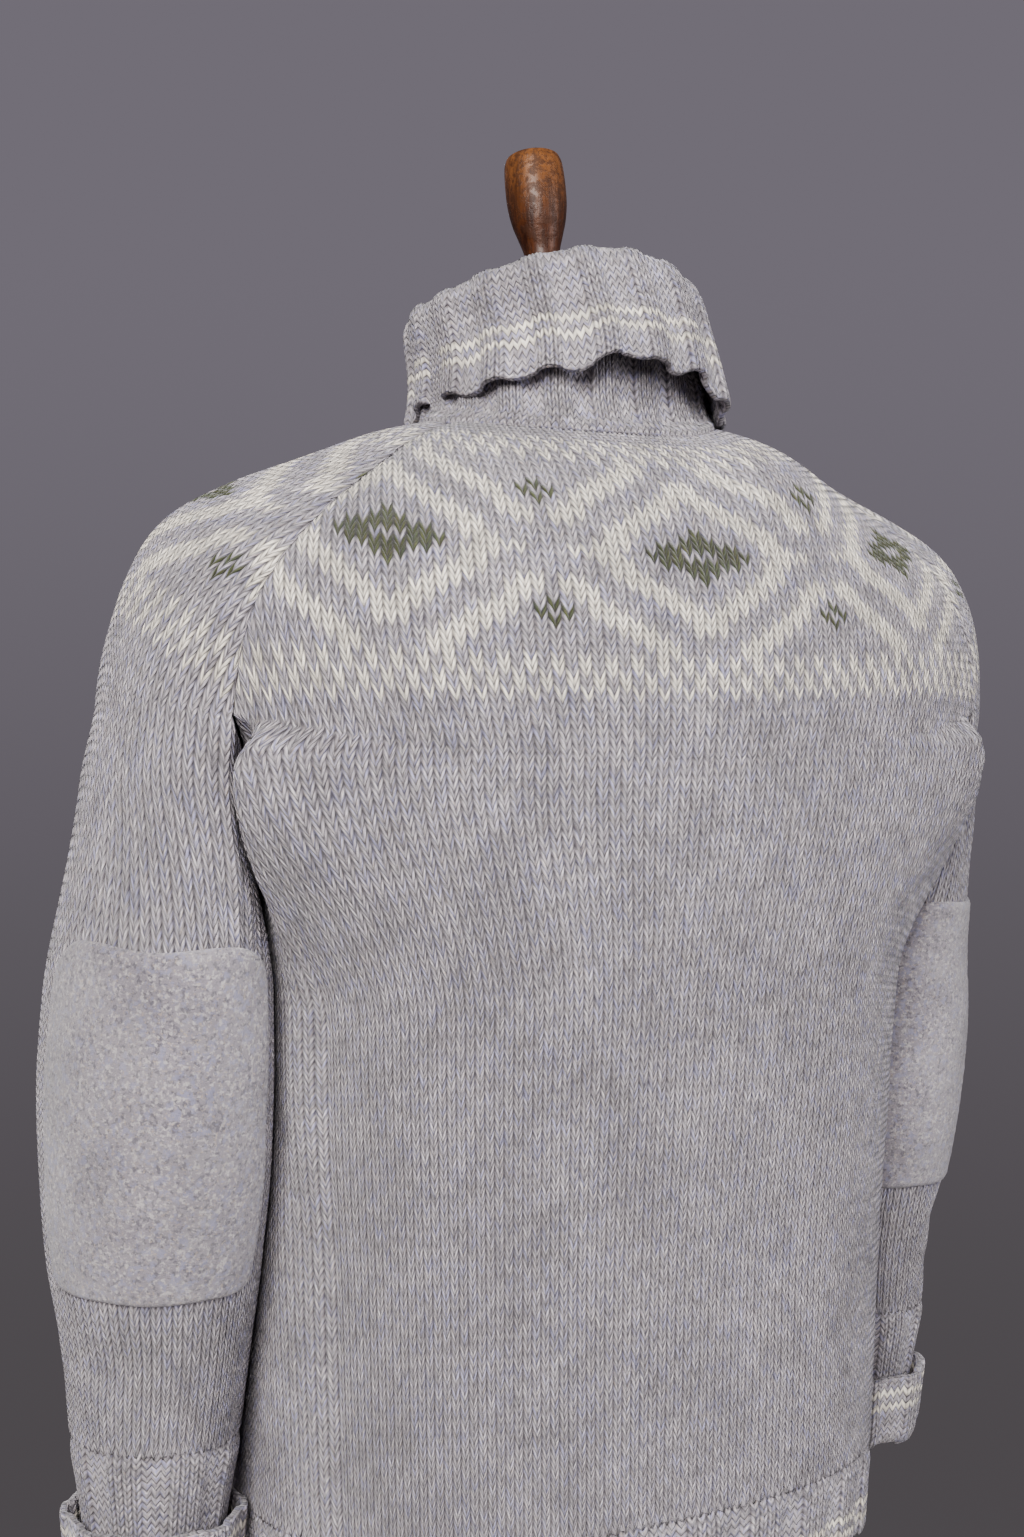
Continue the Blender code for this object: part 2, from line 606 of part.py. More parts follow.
def make_form():
    linen = material("linen cover", (0.62, 0.56, 0.46), 0.85)
    wood = material("varnished wood", (0.20, 0.07, 0.03), 0.3)
    iron = material("dark iron", (0.05, 0.05, 0.05), 0.45, 0.6)

    columns = all_round_columns()
    shoulder = [np.array(form_ring(level)) for level in FORM_LEVELS]
    quads = grid_quads(len(shoulder), len(columns), closed=True)
    outside = np.concatenate(shoulder)
    normals = surface_normals(outside, quads)
    sunk = outside - normals * (WALL + FORM_GAP)
    for row, level in enumerate(FORM_LEVELS):
        rows = slice(row * len(columns), (row + 1) * len(columns))
        sunk[rows] -= normals[rows] * FORM_SLACK * smooth_step((level - 0.40) / 0.35)
    over = np.maximum(np.abs(sunk[:, 0]) - FORM_SHOULDER, 0.0)
    sunk[:, 0] -= np.sign(sunk[:, 0]) * (over - FORM_ROUND * np.tanh(over / FORM_ROUND))

    rows = [np.array([ring_point(FORM_NECK[0], angle, bow=1.0) for angle in columns])]
    rows += [np.array([ring_point(ring, angle) for angle in columns]) for ring in FORM_NECK[1:]]
    rows += list(sunk.reshape(len(FORM_LEVELS), len(columns), 3))
    rows += [np.array(form_trunk_ring(ring)) for ring in FORM_TRUNK]
    quads = grid_quads(len(rows), len(columns), closed=True)
    top = tuple(reversed(range(len(columns))))
    underside = tuple(range((len(rows) - 1) * len(columns), len(rows) * len(columns)))
    make_object("form_torso", np.concatenate(rows), quads + [top, underside], linen)

    cap_centre = (0.0, FORM_NECK[0].centre * CM, FORM_NECK[0].side_z * CM)
    lathe("neck_cap", CAP_PROFILE, cap_centre, NECK_TILT, wood)
    lathe("finial", FINIAL_PROFILE, cap_centre, NECK_TILT, wood, sides=24)
    floor = -UNDERARM_Z
    lathe("pole", [(POLE_RADIUS, floor + FOOT_HEIGHT + SEAM_GAP),
                   (POLE_RADIUS, FORM_TRUNK[-1].height * CM - SEAM_GAP)],
          (0.0, 0.0, 0.0), 0.0, iron, sides=24)
    lathe("foot", [(FOOT_RADIUS, floor), (FOOT_RADIUS, floor + 0.008), (FOOT_RADIUS - 0.006, floor + 0.014),
                   (0.040, floor + FOOT_HEIGHT)],
          (0.0, 0.0, 0.0), 0.0, iron, sides=48)


clear_scene()
make_cloth()
make_form()
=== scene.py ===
# %% [markdown]
# # A chunky knitted sweater on a dress form
# This lesson dresses a fixed model with its looks: a heather grey raglan sweater with a patterned yoke.
# The fixed model gives every place and size. Each piece of cloth is knitted again here as a fine mesh,
# one face row for each row of stitches, so that colours can be knitted in stitch by stitch.
# First the fixed model is loaded.

from collections import namedtuple
from math import cos, pi, radians, sin

import bpy
import numpy as np
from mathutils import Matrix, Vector


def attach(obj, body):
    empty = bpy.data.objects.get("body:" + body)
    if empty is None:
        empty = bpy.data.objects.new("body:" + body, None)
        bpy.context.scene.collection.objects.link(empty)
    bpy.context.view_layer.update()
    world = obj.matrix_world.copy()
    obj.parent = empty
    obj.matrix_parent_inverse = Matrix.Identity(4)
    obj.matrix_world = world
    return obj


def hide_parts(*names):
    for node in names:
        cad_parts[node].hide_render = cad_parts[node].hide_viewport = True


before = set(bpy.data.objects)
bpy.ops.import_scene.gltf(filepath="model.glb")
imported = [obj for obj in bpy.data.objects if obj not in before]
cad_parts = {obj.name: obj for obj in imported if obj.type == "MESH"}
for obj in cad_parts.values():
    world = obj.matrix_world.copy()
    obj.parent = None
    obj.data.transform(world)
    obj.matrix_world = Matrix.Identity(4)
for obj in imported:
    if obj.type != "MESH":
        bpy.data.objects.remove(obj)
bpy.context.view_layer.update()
print("nodes:", sorted(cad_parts))

# %% [markdown]
# ## The sizes of the garment
# A sweater is cut by the stitch. Its rings are listed in short tables, in centimetres: the yoke from the
# neck seam to the armhole, the trunk below it, the sleeves and the folded collar. Every height is counted
# from the yoke's lower border at the centre of the back, and the back faces +Y.

# %% Sizes and tables
CM = 0.01
UNDERARM_Z = 1.28
WALL = 0.0035
RIB_WALL = 0.0045
RING_BOW = 1.4
BODY_POWER = 2.5
ARM_PLANE = 0.2010
ARM_PLANE_FLARE = 0.025
WING = 0.021
RIGHT_FORWARD = 0.024
LEFT_LEAN = 0.006
RIGHT_LEAN = -0.006
PRESS_GAP = 0.0046
PRESS_SOFT = 0.0030
HEM_RIB_TOP = -0.447
HEM_BOTTOM = -0.497
SLEEVE_END = -0.395
CUFF_BOTTOM = -0.482
CUFF_TOP = -0.437
TOP_CENTRE = -0.030
TRUNK_START = -0.035
TRUNK_BLEND = 0.130
SLEEVE_BLEND = 0.120
SLEEVE_TURN = radians(105.0)
UNDERARM = (20.1, 0.6, -5.6)

YokeRing = namedtuple("YokeRing", "level half_width centre back front back_z side_z front_z "
                                  "back_seam front_seam")
YOKE = [
    YokeRing(0.00, 7.8, 0.0, 6.5, 7.2, 15.2, 15.9, 10.8, 74.0, 62.0),
    YokeRing(0.15, 12.2, 0.7, 8.9, 9.9, 13.6, 14.8, 9.2, 67.0, 58.0),
    YokeRing(0.30, 16.8, 1.4, 10.6, 12.0, 11.2, 13.1, 7.0, 61.5, 56.0),
    YokeRing(0.45, 21.3, 2.0, 11.5, 13.6, 8.3, 11.4, 4.6, 58.5, 54.0),
    YokeRing(0.60, 24.9, 2.6, 11.8, 14.4, 5.3, 9.4, 2.0, 57.0, 53.0),
    YokeRing(0.75, 26.8, 3.0, 11.7, 15.1, 2.3, 6.7, -0.6, 58.0, 52.5),
    YokeRing(0.88, 27.5, 3.2, 11.6, 15.5, -0.4, 3.7, -2.9, 59.0, 52.5),
    YokeRing(1.00, 27.7, 3.2, 11.5, 15.5, -3.0, 0.7, -5.0, 59.5, 52.0),
]
TrunkRing = namedtuple("TrunkRing", "height half_width back front")
TRUNK = [
    TrunkRing(-5.0, 20.9, 14.6, 13.2),
    TrunkRing(-12.0, 21.0, 14.2, 13.4),
    TrunkRing(-20.0, 20.8, 13.8, 13.3),
    TrunkRing(-30.0, 20.2, 13.0, 13.0),
    TrunkRing(-40.0, 19.8, 12.7, 12.8),
    TrunkRing(-44.7, 19.6, 12.6, 12.7),
    TrunkRing(-49.7, 19.3, 12.4, 12.5),
]
SleeveRing = namedtuple("SleeveRing", "height centre_x centre_y across along")
SLEEVE = [
    SleeveRing(-5.0, 24.2, 1.2, 5.4, 8.0),
    SleeveRing(-10.0, 24.4, 0.7, 5.6, 8.0),
    SleeveRing(-15.0, 24.7, 0.5, 5.8, 8.0),
    SleeveRing(-20.0, 24.9, 0.4, 6.0, 8.0),
    SleeveRing(-25.0, 24.9, 0.2, 5.9, 7.6),
    SleeveRing(-30.0, 24.9, -0.1, 5.5, 6.8),
    SleeveRing(-35.0, 24.7, -0.5, 4.8, 5.8),
    SleeveRing(-39.5, 24.7, -0.8, 4.4, 5.0),
    SleeveRing(-44.0, 24.7, -1.0, 3.8, 4.3),
    SleeveRing(-48.2, 24.7, -1.2, 3.6, 4.1),
]
CollarRing = namedtuple("CollarRing", "centre half_width back front back_z side_z front_z")
COLLAR = [
    CollarRing(0.0, 8.60, 7.30, 8.00, 14.70, 15.45, 10.10),
    CollarRing(0.0, 8.00, 6.85, 7.40, 15.75, 16.35, 11.20),
    CollarRing(-0.2, 7.80, 6.70, 7.10, 16.9, 17.0, 12.2),
    CollarRing(-0.3, 7.70, 6.70, 7.0, 18.3, 17.8, 13.2),
    CollarRing(-0.7, 7.70, 7.00, 7.0, 21.4, 20.2, 17.0),
    CollarRing(-0.9, 7.85, 7.30, 6.9, 24.3, 22.0, 20.1),
    CollarRing(-1.0, 8.35, 7.85, 7.2, 25.0, 22.5, 20.7),
    CollarRing(-1.0, 8.85, 8.35, 7.6, 24.2, 21.9, 19.9),
    CollarRing(-0.9, 9.15, 8.60, 7.8, 22.5, 20.3, 18.2),
    CollarRing(-0.7, 9.50, 8.90, 8.0, 20.6, 18.4, 16.4),
    CollarRing(-0.5, 9.90, 9.20, 8.2, 18.7, 16.6, 14.8),
]

# %% [markdown]
# ## Reading the tables
# A table gives a ring at a few heights only. Between its rows a smooth curve is read, and round each ring
# the points follow an ellipse or, on the trunk, a slightly squarer oval. The lower edge of the yoke melts
# into the trunk's and the sleeves' rings over the first hand's width below the armhole.

# %% Read a ring at any height
def read_table(table, key):
    way = 1.0 if table[-1][0] > table[0][0] else -1.0
    keys = [way * row[0] for row in table]
    key = way * key
    values = np.array([row[1:] for row in table], float)
    ahead = int(np.clip(np.searchsorted(keys, key), 1, len(keys) - 1))
    low = ahead - 1
    span = keys[ahead] - keys[low]
    part = (key - keys[low]) / span

    def slope(index):
        before = max(index - 1, 0)
        after = min(index + 1, len(keys) - 1)
        return (values[after] - values[before]) / (keys[after] - keys[before])

    square = part * part
    cube = square * part
    read = ((2 * cube - 3 * square + 1) * values[low] + (cube - 2 * square + part) * span * slope(low)
            + (3 * square - 2 * cube) * values[ahead] + (cube - square) * span * slope(ahead))
    return type(table[0])(way * key, *read)


def smooth_step(value):
    value = np.clip(value, 0.0, 1.0)
    return value * value * (3.0 - 2.0 * value)


# %% Points round the rings
def ring_points(ring, angles, bow=RING_BOW):
    # Angles run in degrees from the centre of the back, through the left side, to the front
    turn = np.radians(angles)
    behind = np.cos(turn) > 0
    reach = np.where(behind, ring.back, ring.front)
    end_z = np.where(behind, ring.back_z, ring.front_z)
    height = ring.side_z + (end_z - ring.side_z) * np.abs(np.cos(turn)) ** bow
    across = ring.half_width * np.sin(turn)
    along = ring.centre + reach * np.cos(turn)
    return np.stack([across, along, height], axis=-1) * CM


def read_line(points, places):
    steps = np.linalg.norm(np.diff(points, axis=0), axis=1)
    length = np.concatenate(([0.0], np.cumsum(steps))) / steps.sum()
    return np.stack([np.interp(places, length, points[:, axis]) for axis in range(3)], axis=1)


def underarm_curve(start, count):
    low = np.array(UNDERARM) * CM
    bend = np.array((low[0] + 0.002, start[1] * 0.45, low[2] + 0.004))
    steps = np.linspace(0.0, 1.0, count)[:, None]
    return (1 - steps) ** 2 * start + 2 * steps * (1 - steps) * bend + steps ** 2 * low


def wing_share(height):
    return smooth_step((-0.004 - height) / 0.034) * smooth_step((height + 0.158) / 0.094)


def arm_plane(y, height):
    near_armhole = smooth_step((height + 0.20) / 0.16)
    reach = (y - 0.006) / np.where(y > 0.006, 0.095, 0.073)
    square = np.minimum(reach * reach, 1.2)
    behind = np.where(y > 0.006, WING * wing_share(height) * square, 0.0)
    return ARM_PLANE + ARM_PLANE_FLARE * near_armhole * square + behind


def kept_inside(points, side):
    # Trunk (-1) and sleeve (+1) press softly on the plane between them
    held = points.copy()
    over = side * (arm_plane(held[:, 1], held[:, 2]) + side * PRESS_GAP - held[:, 0])
    over = np.maximum(over, 0.0)
    held[:, 0] += side * (over - PRESS_SOFT * over / (over + PRESS_SOFT))
    return held


# %% [markdown]
# ## Control grids
# A knitted piece is a grid of wales (its columns) and rows. Making a million points from the tables one by
# one would be slow, so each piece first gets a coarse control grid of points and outward directions. A
# Catmull-Rom curve through that grid then gives any number of fine points between them.

# %% Control grids of the panels and sleeves
YOKE_ROWS = 50             # rows of stitches from the neck seam to the end of the raglan
TRUNK_ROWS = 95
GRID_YOKE = 32             # control columns of half a panel's yoke
GRID_UNDERARM = 12         # and of one underarm curve
GRID_STEPS = 40            # control rows of the yoke, and of the part below it
CAP_COLUMNS = 40           # control columns of the sleeve cap
SHOULDER_RISE = 0.006      # how far the right shoulder's cloth is pushed up beside the neck, and out
SHOULDER_PUSH = 0.010
LEFT_SPREAD = 0.0080       # how far the left shoulder's cloth stands out


def half_top(face):
    ring = read_table(YOKE, 1.0)
    seam = ring.back_seam if face > 0 else ring.front_seam
    angles = np.linspace(0.0, seam, GRID_YOKE + 1)
    edge = ring_points(ring, angles if face > 0 else 180.0 - angles)
    return np.concatenate([edge, underarm_curve(edge[-1], GRID_UNDERARM + 1)[1:]])


def trunk_ring(face, height, places):
    ring = read_table(TRUNK, height / CM)
    turns = np.linspace(0.0, pi / 2, 401)
    reach = ring.back if face > 0 else ring.front
    across = ring.half_width * np.sin(turns) ** (2 / BODY_POWER)
    along = face * reach * np.abs(np.cos(turns)) ** (2 / BODY_POWER) + 0.3
    return read_line(np.stack([across * CM, along * CM, np.full_like(across, height)], axis=1), places)


def half_row(face, height):
    top = half_top(face)
    steps = np.linalg.norm(np.diff(top, axis=0), axis=1)
    places = np.concatenate(([0.0], np.cumsum(steps))) / steps.sum()
    share = smooth_step((TRUNK_START - height) / TRUNK_BLEND)
    top[:, 2] += height - TOP_CENTRE
    row = top * (1 - share) + trunk_ring(face, height, places) * share
    if face > 0:
        away = (places - places[GRID_YOKE]) / 0.13
        row[:, 0] += WING * wing_share(height) * np.exp(-away * away)
    return kept_inside(row, -1)


def raised_shoulder(points):
    # Beside the neck the cloth of the right shoulder is pushed up and out a little
    away = -points[..., 0]
    high = points[..., 2]
    risen = smooth_step((away - 0.040) / 0.040) * (1.0 - smooth_step((away - 0.110) / 0.070))
    pushed = smooth_step((away - 0.030) / 0.035) * (1.0 - smooth_step((away - 0.090) / 0.060))
    near_neck = smooth_step((high - 0.095) / 0.030) * (1.0 - smooth_step((high - 0.175) / 0.035))
    raised = points.copy()
    raised[..., 2] += SHOULDER_RISE * risen * near_neck
    raised[..., 0] -= SHOULDER_PUSH * pushed * smooth_step((high - 0.070) / 0.050)
    return raised


def whole_row(left):
    return np.concatenate([left[:0:-1] * np.array((-1.0, 1.0, 1.0)), left])


def yoke_grid(face):
    rows = []
    for level in np.linspace(0.0, 1.0, GRID_STEPS + 1):
        ring = read_table(YOKE, level)
        angles = np.linspace(0.0, ring.back_seam if face > 0 else ring.front_seam, GRID_YOKE + 1)
        rows.append(whole_row(ring_points(ring, angles if face > 0 else 180.0 - angles)))
    return np.array(rows)


def trunk_grid(face):
    heights = np.linspace(TOP_CENTRE, HEM_RIB_TOP, GRID_STEPS + 1)
    return np.array([whole_row(half_top(face) if row == 0 else half_row(face, height))
                     for row, height in enumerate(heights)])


def cap_angles(ring):
    return np.linspace(ring.back_seam, 180.0 - ring.front_seam, CAP_COLUMNS + 1)


def cap_grid():
    rows = []
    for level in np.linspace(0.0, 1.0, GRID_STEPS + 1):
        ring = read_table(YOKE, level)
        rows.append(ring_points(ring, cap_angles(ring)))
    return np.array(rows)


def sleeve_centre(height, forward):
    ring = read_table(SLEEVE, min(height / CM, SLEEVE[0].height))
    ahead = forward * smooth_step((-0.02 - height) / 0.16)
    tucked = 0.5 * forward * smooth_step(-height / 0.05) * (1.0 - 0.7 * smooth_step((-0.30 - height) / 0.12))
    return np.array((ring.centre_x * CM - tucked, ring.centre_y * CM - ahead, height))


def sleeve_tube(height, turns, forward):
    ring = read_table(SLEEVE, min(height / CM, SLEEVE[0].height))
    tube = np.stack([ring.across * CM * np.cos(turns), ring.along * CM * np.sin(turns),
                     np.zeros_like(turns)], axis=1)
    return tube + sleeve_centre(height, forward)


def spread_left(points):
    # The left shoulder's cloth stands out from about the widest place of the yoke down
    spread = points.copy()
    outer = smooth_step((points[..., 0] - 0.236) / 0.036)
    spread[..., 0] += LEFT_SPREAD * outer * smooth_step((0.070 - points[..., 2]) / 0.075)
    return spread


def tube_grid(forward):
    # The closed tube of the left sleeve, clockwise from the back end of its raglan seam
    ring = read_table(YOKE, 1.0)
    outer = ring_points(ring, cap_angles(ring))
    front = underarm_curve(outer[-1], GRID_UNDERARM + 1)[1:]
    back = underarm_curve(outer[0], GRID_UNDERARM + 1)[1:-1][::-1]
    top = np.concatenate([outer, front, back])
    if not forward:
        top = spread_left(top)
    turns = SLEEVE_TURN - np.arange(len(top)) * 2 * pi / len(top)
    lean = RIGHT_LEAN if forward else LEFT_LEAN
    outer_side = smooth_step((top[:, 0] - 0.215) / 0.05)
    rows = [top]
    for height in np.linspace(TOP_CENTRE, SLEEVE_END, GRID_STEPS + 1)[1:]:
        share = smooth_step((TRUNK_START - height) / SLEEVE_BLEND)
        lowered = top.copy()
        lowered[:, 2] += height - TOP_CENTRE
        lowered[:, 0] += lean * outer_side * smooth_step((TOP_CENTRE - height) / 0.04)
        rows.append(kept_inside(lowered * (1 - share) + sleeve_tube(height, turns, forward) * share, 1))
    return np.array(rows)


# %% [markdown]
# ## A smooth cloth from a control grid
# The outward direction at each control point is the cross product of the grid's two slopes. It is worked
# out once on the coarse grid and then read smoothly, which keeps it steady where fine points crowd
# together, as they do where wales end at a raglan seam.

# %% Smooth reading of a grid
Cloth = namedtuple("Cloth", "points outward closed")


def make_cloth(points, closed=False, flip=False):
    if closed:
        ringed = np.concatenate([points[:, -1:], points, points[:, :1]], axis=1)
        along = np.gradient(ringed, axis=1)[:, 1:-1]
    else:
        along = np.gradient(points, axis=1)
    outward = np.cross(along, np.gradient(points, axis=0))
    outward /= np.linalg.norm(outward, axis=-1)[..., None]
    return Cloth(points, -outward if flip else outward, closed)


def pull_weights(part):
    square = part * part
    cube = square * part
    return (-0.5 * part + square - 0.5 * cube, 1.0 - 2.5 * square + 1.5 * cube,
            0.5 * part + 2.0 * square - 1.5 * cube, 0.5 * (cube - square))


def read_grid(grid, rows, columns, closed):
    rows, columns = np.broadcast_arrays(rows, columns)
    row = np.clip(np.floor(rows).astype(int), 0, len(grid) - 2)
    column = np.floor(columns).astype(int)
    if not closed:
        column = np.clip(column, 0, grid.shape[1] - 2)
    row_weights = pull_weights(rows - row)
    column_weights = pull_weights(columns - column)
    total = np.zeros(rows.shape + (3,))
    for down in range(4):
        near_row = np.clip(row + down - 1, 0, len(grid) - 1)
        for over in range(4):
            near_column = column + over - 1
            if closed:
                near_column = near_column % grid.shape[1]
            else:
                near_column = np.clip(near_column, 0, grid.shape[1] - 1)
            total += (row_weights[down] * column_weights[over])[..., None] * grid[near_row, near_column]
    return total


def read_cloth(cloth, rows, columns):
    points = read_grid(cloth.points, rows, columns, cloth.closed)
    outward = read_grid(cloth.outward, rows, columns, cloth.closed)
    return points, outward / np.linalg.norm(outward, axis=-1)[..., None]


BACK_YOKE = make_cloth(raised_shoulder(yoke_grid(1)))
BACK_TRUNK = make_cloth(trunk_grid(1))
FRONT_YOKE = make_cloth(raised_shoulder(yoke_grid(-1)), flip=True)
FRONT_TRUNK = make_cloth(trunk_grid(-1), flip=True)
print("outward at the middle of the back:", BACK_TRUNK.outward[20, GRID_YOKE + GRID_UNDERARM].round(2))
print("outward at the middle of the front:", FRONT_TRUNK.outward[20, GRID_YOKE + GRID_UNDERARM].round(2))

# %% [markdown]
# ## The stitches
# In plain knitting each stitch shows as a small V. Here a stitch is four faces wide and one row high, and the
# vertices of a row are shifted down towards the middle of each wale, so that the faces themselves slant like
# the two arms of the V. A colour that is set face by face then has the zigzag edge of real colourwork.
# The crest of each arm stands about a millimetre proud of the groove between two wales.

# %% The places of stitches on a panel and on a sleeve
SEAM_ROWS = [0.0, 22.5, 43.0, 50.0]
PANEL_SEAM = [17.0, 29.2, 37.6, 40.5]      # wales from a panel's middle to its raglan seam, at those rows
CAP_SEAM = [5.5, 12.8, 17.8, 19.5]         # and from a sleeve's top line to the seam
UNDERARM_WALES = 16.0
PANEL_HALF = PANEL_SEAM[-1] + UNDERARM_WALES
SLEEVE_WALES = 68
SLEEVE_ROWS = 83
SLANT = 1.5                # rows that the middle of a wale lies lower than its edges
CREST = 0.0011
SEAM_DIP = 0.0016
SEAM_DROP = 6.5            # rows that the knitting hangs lower at the end of a raglan seam
MIDDLE_SHIFT = 0.04        # how far the panels' middle lies off centre, in half panels
EDGE_ROWS = 12.0           # the last rows, which are drawn together a little
WALE_WIDTH = 0.0064        # of a wale that is knitted loosely, in metres
FAR = 9.0                  # wales to the nearest seam, where none is near
MAP_SHIFT = 100.5          # keeps the wales of the stitch map above nought
ROW_SHARE = 0.64           # a row is this much of a wale's width


def row_place(u, v, seam_wales):
    # Rows hang lower towards the raglan seams, and level out again down the trunk
    share = np.minimum(np.abs(u) / seam_wales[-1], 1.0)
    drop = SEAM_DROP * smooth_step(v / YOKE_ROWS) * (1.0 - smooth_step((v - YOKE_ROWS) / 60.0))
    return v + drop * share * share


def seam_at(v, seam_wales):
    return np.interp(v, SEAM_ROWS, seam_wales)


def panel_place(yoke, trunk):
    def place(u, v):
        v = row_place(u, v, PANEL_SEAM)
        v = np.where(np.abs(u) > PANEL_SEAM[-1], np.maximum(v, YOKE_ROWS), v)
        share = np.clip(u / seam_at(v, PANEL_SEAM), -1.0, 1.0)
        share = share - MIDDLE_SHIFT * (1.0 - share * share) * (1.0 - smooth_step((v - 30.0) / 60.0))
        above = read_cloth(yoke, np.clip(v / YOKE_ROWS, 0.0, 1.0) * GRID_STEPS, (share + 1.0) * GRID_YOKE)
        offset = MIDDLE_SHIFT * PANEL_SEAM[-1] * (1.0 - smooth_step((v - 30.0) / 60.0))
        middle = np.clip(1.0 - (u / PANEL_SEAM[-1]) ** 2, 0.0, 1.0)
        u = u - offset * middle
        side = np.abs(u)
        column = np.where(side <= PANEL_SEAM[-1], side / PANEL_SEAM[-1] * GRID_YOKE,
                          GRID_YOKE + (side - PANEL_SEAM[-1]) / UNDERARM_WALES * GRID_UNDERARM)
        row = np.clip((v - YOKE_ROWS) / TRUNK_ROWS, 0.0, 1.0) * GRID_STEPS
        below = read_cloth(trunk, row, GRID_YOKE + GRID_UNDERARM + np.sign(u) * column)
        yoked = (v < YOKE_ROWS)[..., None]
        return tuple(np.where(yoked, first, second) for first, second in zip(above, below))
    return place


def sleeve_place(cap, tube):
    def place(u, v):
        v = row_place(u, v, CAP_SEAM)
        v = np.where(u > CAP_SEAM[-1], np.maximum(v, YOKE_ROWS), v)
        share = np.clip(u / seam_at(v, CAP_SEAM), -1.0, 1.0)
        above = read_cloth(cap, np.clip(v / YOKE_ROWS, 0.0, 1.0) * GRID_STEPS,
                           (share + 1.0) * (CAP_COLUMNS / 2))
        half = CAP_SEAM[-1]
        column = np.where(u <= half, (u + half) / (2 * half) * CAP_COLUMNS,
                          CAP_COLUMNS + (u - half) / (SLEEVE_WALES - 2 * half) * (2 * GRID_UNDERARM))
        row = np.clip((v - YOKE_ROWS) / SLEEVE_ROWS, 0.0, 1.0) * GRID_STEPS
        below = read_cloth(tube, row, column)
        yoked = (v < YOKE_ROWS)[..., None]
        return tuple(np.where(yoked, first, second) for first, second in zip(above, below))
    return place


# %% Relief of plain knitting
def slant_at(u):
    return SLANT * (1.0 - 2.0 * np.abs(u - np.round(u)))


def crest_at(u):
    return np.interp(np.abs(u - np.round(u)), [0.0, 0.25, 0.5], [0.45 * CREST, CREST, 0.0])


def seam_dip(distance):
    # The cloth turns in over its last stitch beside a seam
    return -SEAM_DIP * np.exp(-(distance / 0.7) ** 2)


# %% [markdown]
# ## The colour chart
# Fair isle is knitted from a chart: one letter for a stitch, c for cream, g for green and a dot for the grey
# ground. This one is a common kind of repeat, a diamond beside a small motif between toothed borders. A
# quarter is written down, and it is mirrored sideways and upwards.

# %% Chart
CHART = [
    "..cccc..ggg..",
    "....ccc..gggg",
    ".....cc....gg",
    ".....ccc....g",
    ".cc...ccc....",
    ".ccc...ccc...",
    "..cc....ccc..",
    "g..cc....ccc.",
    ".g.ccc....ccc",
    "g...ccc....cc",
    ".....ccc...cc",
    "......ccc....",
    ".......ccc...",
    "........cc...",
    "c.c.c.c.c.c.c",
    "c.c.c.c.c.c.c",
    ".c.c.c.c.c.c.",
    ".c.c.c.c.c.c.",
    "c.c.c.c.c.c.c",
]
REPEAT = 24                # wales in a repeat of the chart
CHART_CENTRE = 23          # row of stitches through the middle of the diamonds
CHART_CODES = np.array([[".cg".index(letter) for letter in line] for line in CHART])


def chart_yarn(wale, row):
    # 0 grey, 1 cream, 2 green. The last letters of the chart's lines are knitted on wale 0
    across = np.abs(wale % REPEAT - REPEAT // 2)
    down = np.abs(row - CHART_CENTRE)
    inside = down < len(CHART)
    return np.where(inside, CHART_CODES[np.minimum(down, len(CHART) - 1), across], 0)


print("wales in a repeat:", REPEAT, "rows:", 2 * len(CHART) - 1)

# %% [markdown]
# ## Closing a sheet
# The fine outer side gets a plain inner side behind it at the cloth's thickness. The two have different
# numbers of points on their edges, so a helper walks along both edges at once and always takes the shorter
# next step, as a zip does. The result is one closed wall of cloth.

# %% Mesh helpers
def border_loops(faces):
    edges = set()
    for face in faces:
        edges.update(zip(face, face[1:] + face[:1]))
    following = {start: end for start, end in edges if (end, start) not in edges}
    loops = []
    while following:
        start, point = following.popitem()
        loop = [start, point]
        while point in following:
            point = following.pop(point)
            loop.append(point)
        loops.append(loop[:-1])
    return sorted(loops, key=len, reverse=True)


def zip_loops(points, outer, inner):
    # outer and inner are loops of point numbers that run the same way
    first = np.argmin(np.linalg.norm(points[inner] - points[outer[0]], axis=1))
    inner = inner[first:] + inner[:first]
    outer = outer + outer[:1]
    inner = inner + inner[:1]
    faces = []
    a = b = 0
    while a < len(outer) - 1 or b < len(inner) - 1:
        step_a = step_b = np.inf
        if a < len(outer) - 1:
            step_a = np.linalg.norm(points[outer[a + 1]] - points[inner[b]])
        if b < len(inner) - 1:
            step_b = np.linalg.norm(points[inner[b + 1]] - points[outer[a]])
        if step_a <= step_b:
            faces.append((outer[a + 1], outer[a], inner[b]))
            a += 1
        else:
            faces.append((outer[a], inner[b], inner[b + 1]))
            b += 1
    return faces


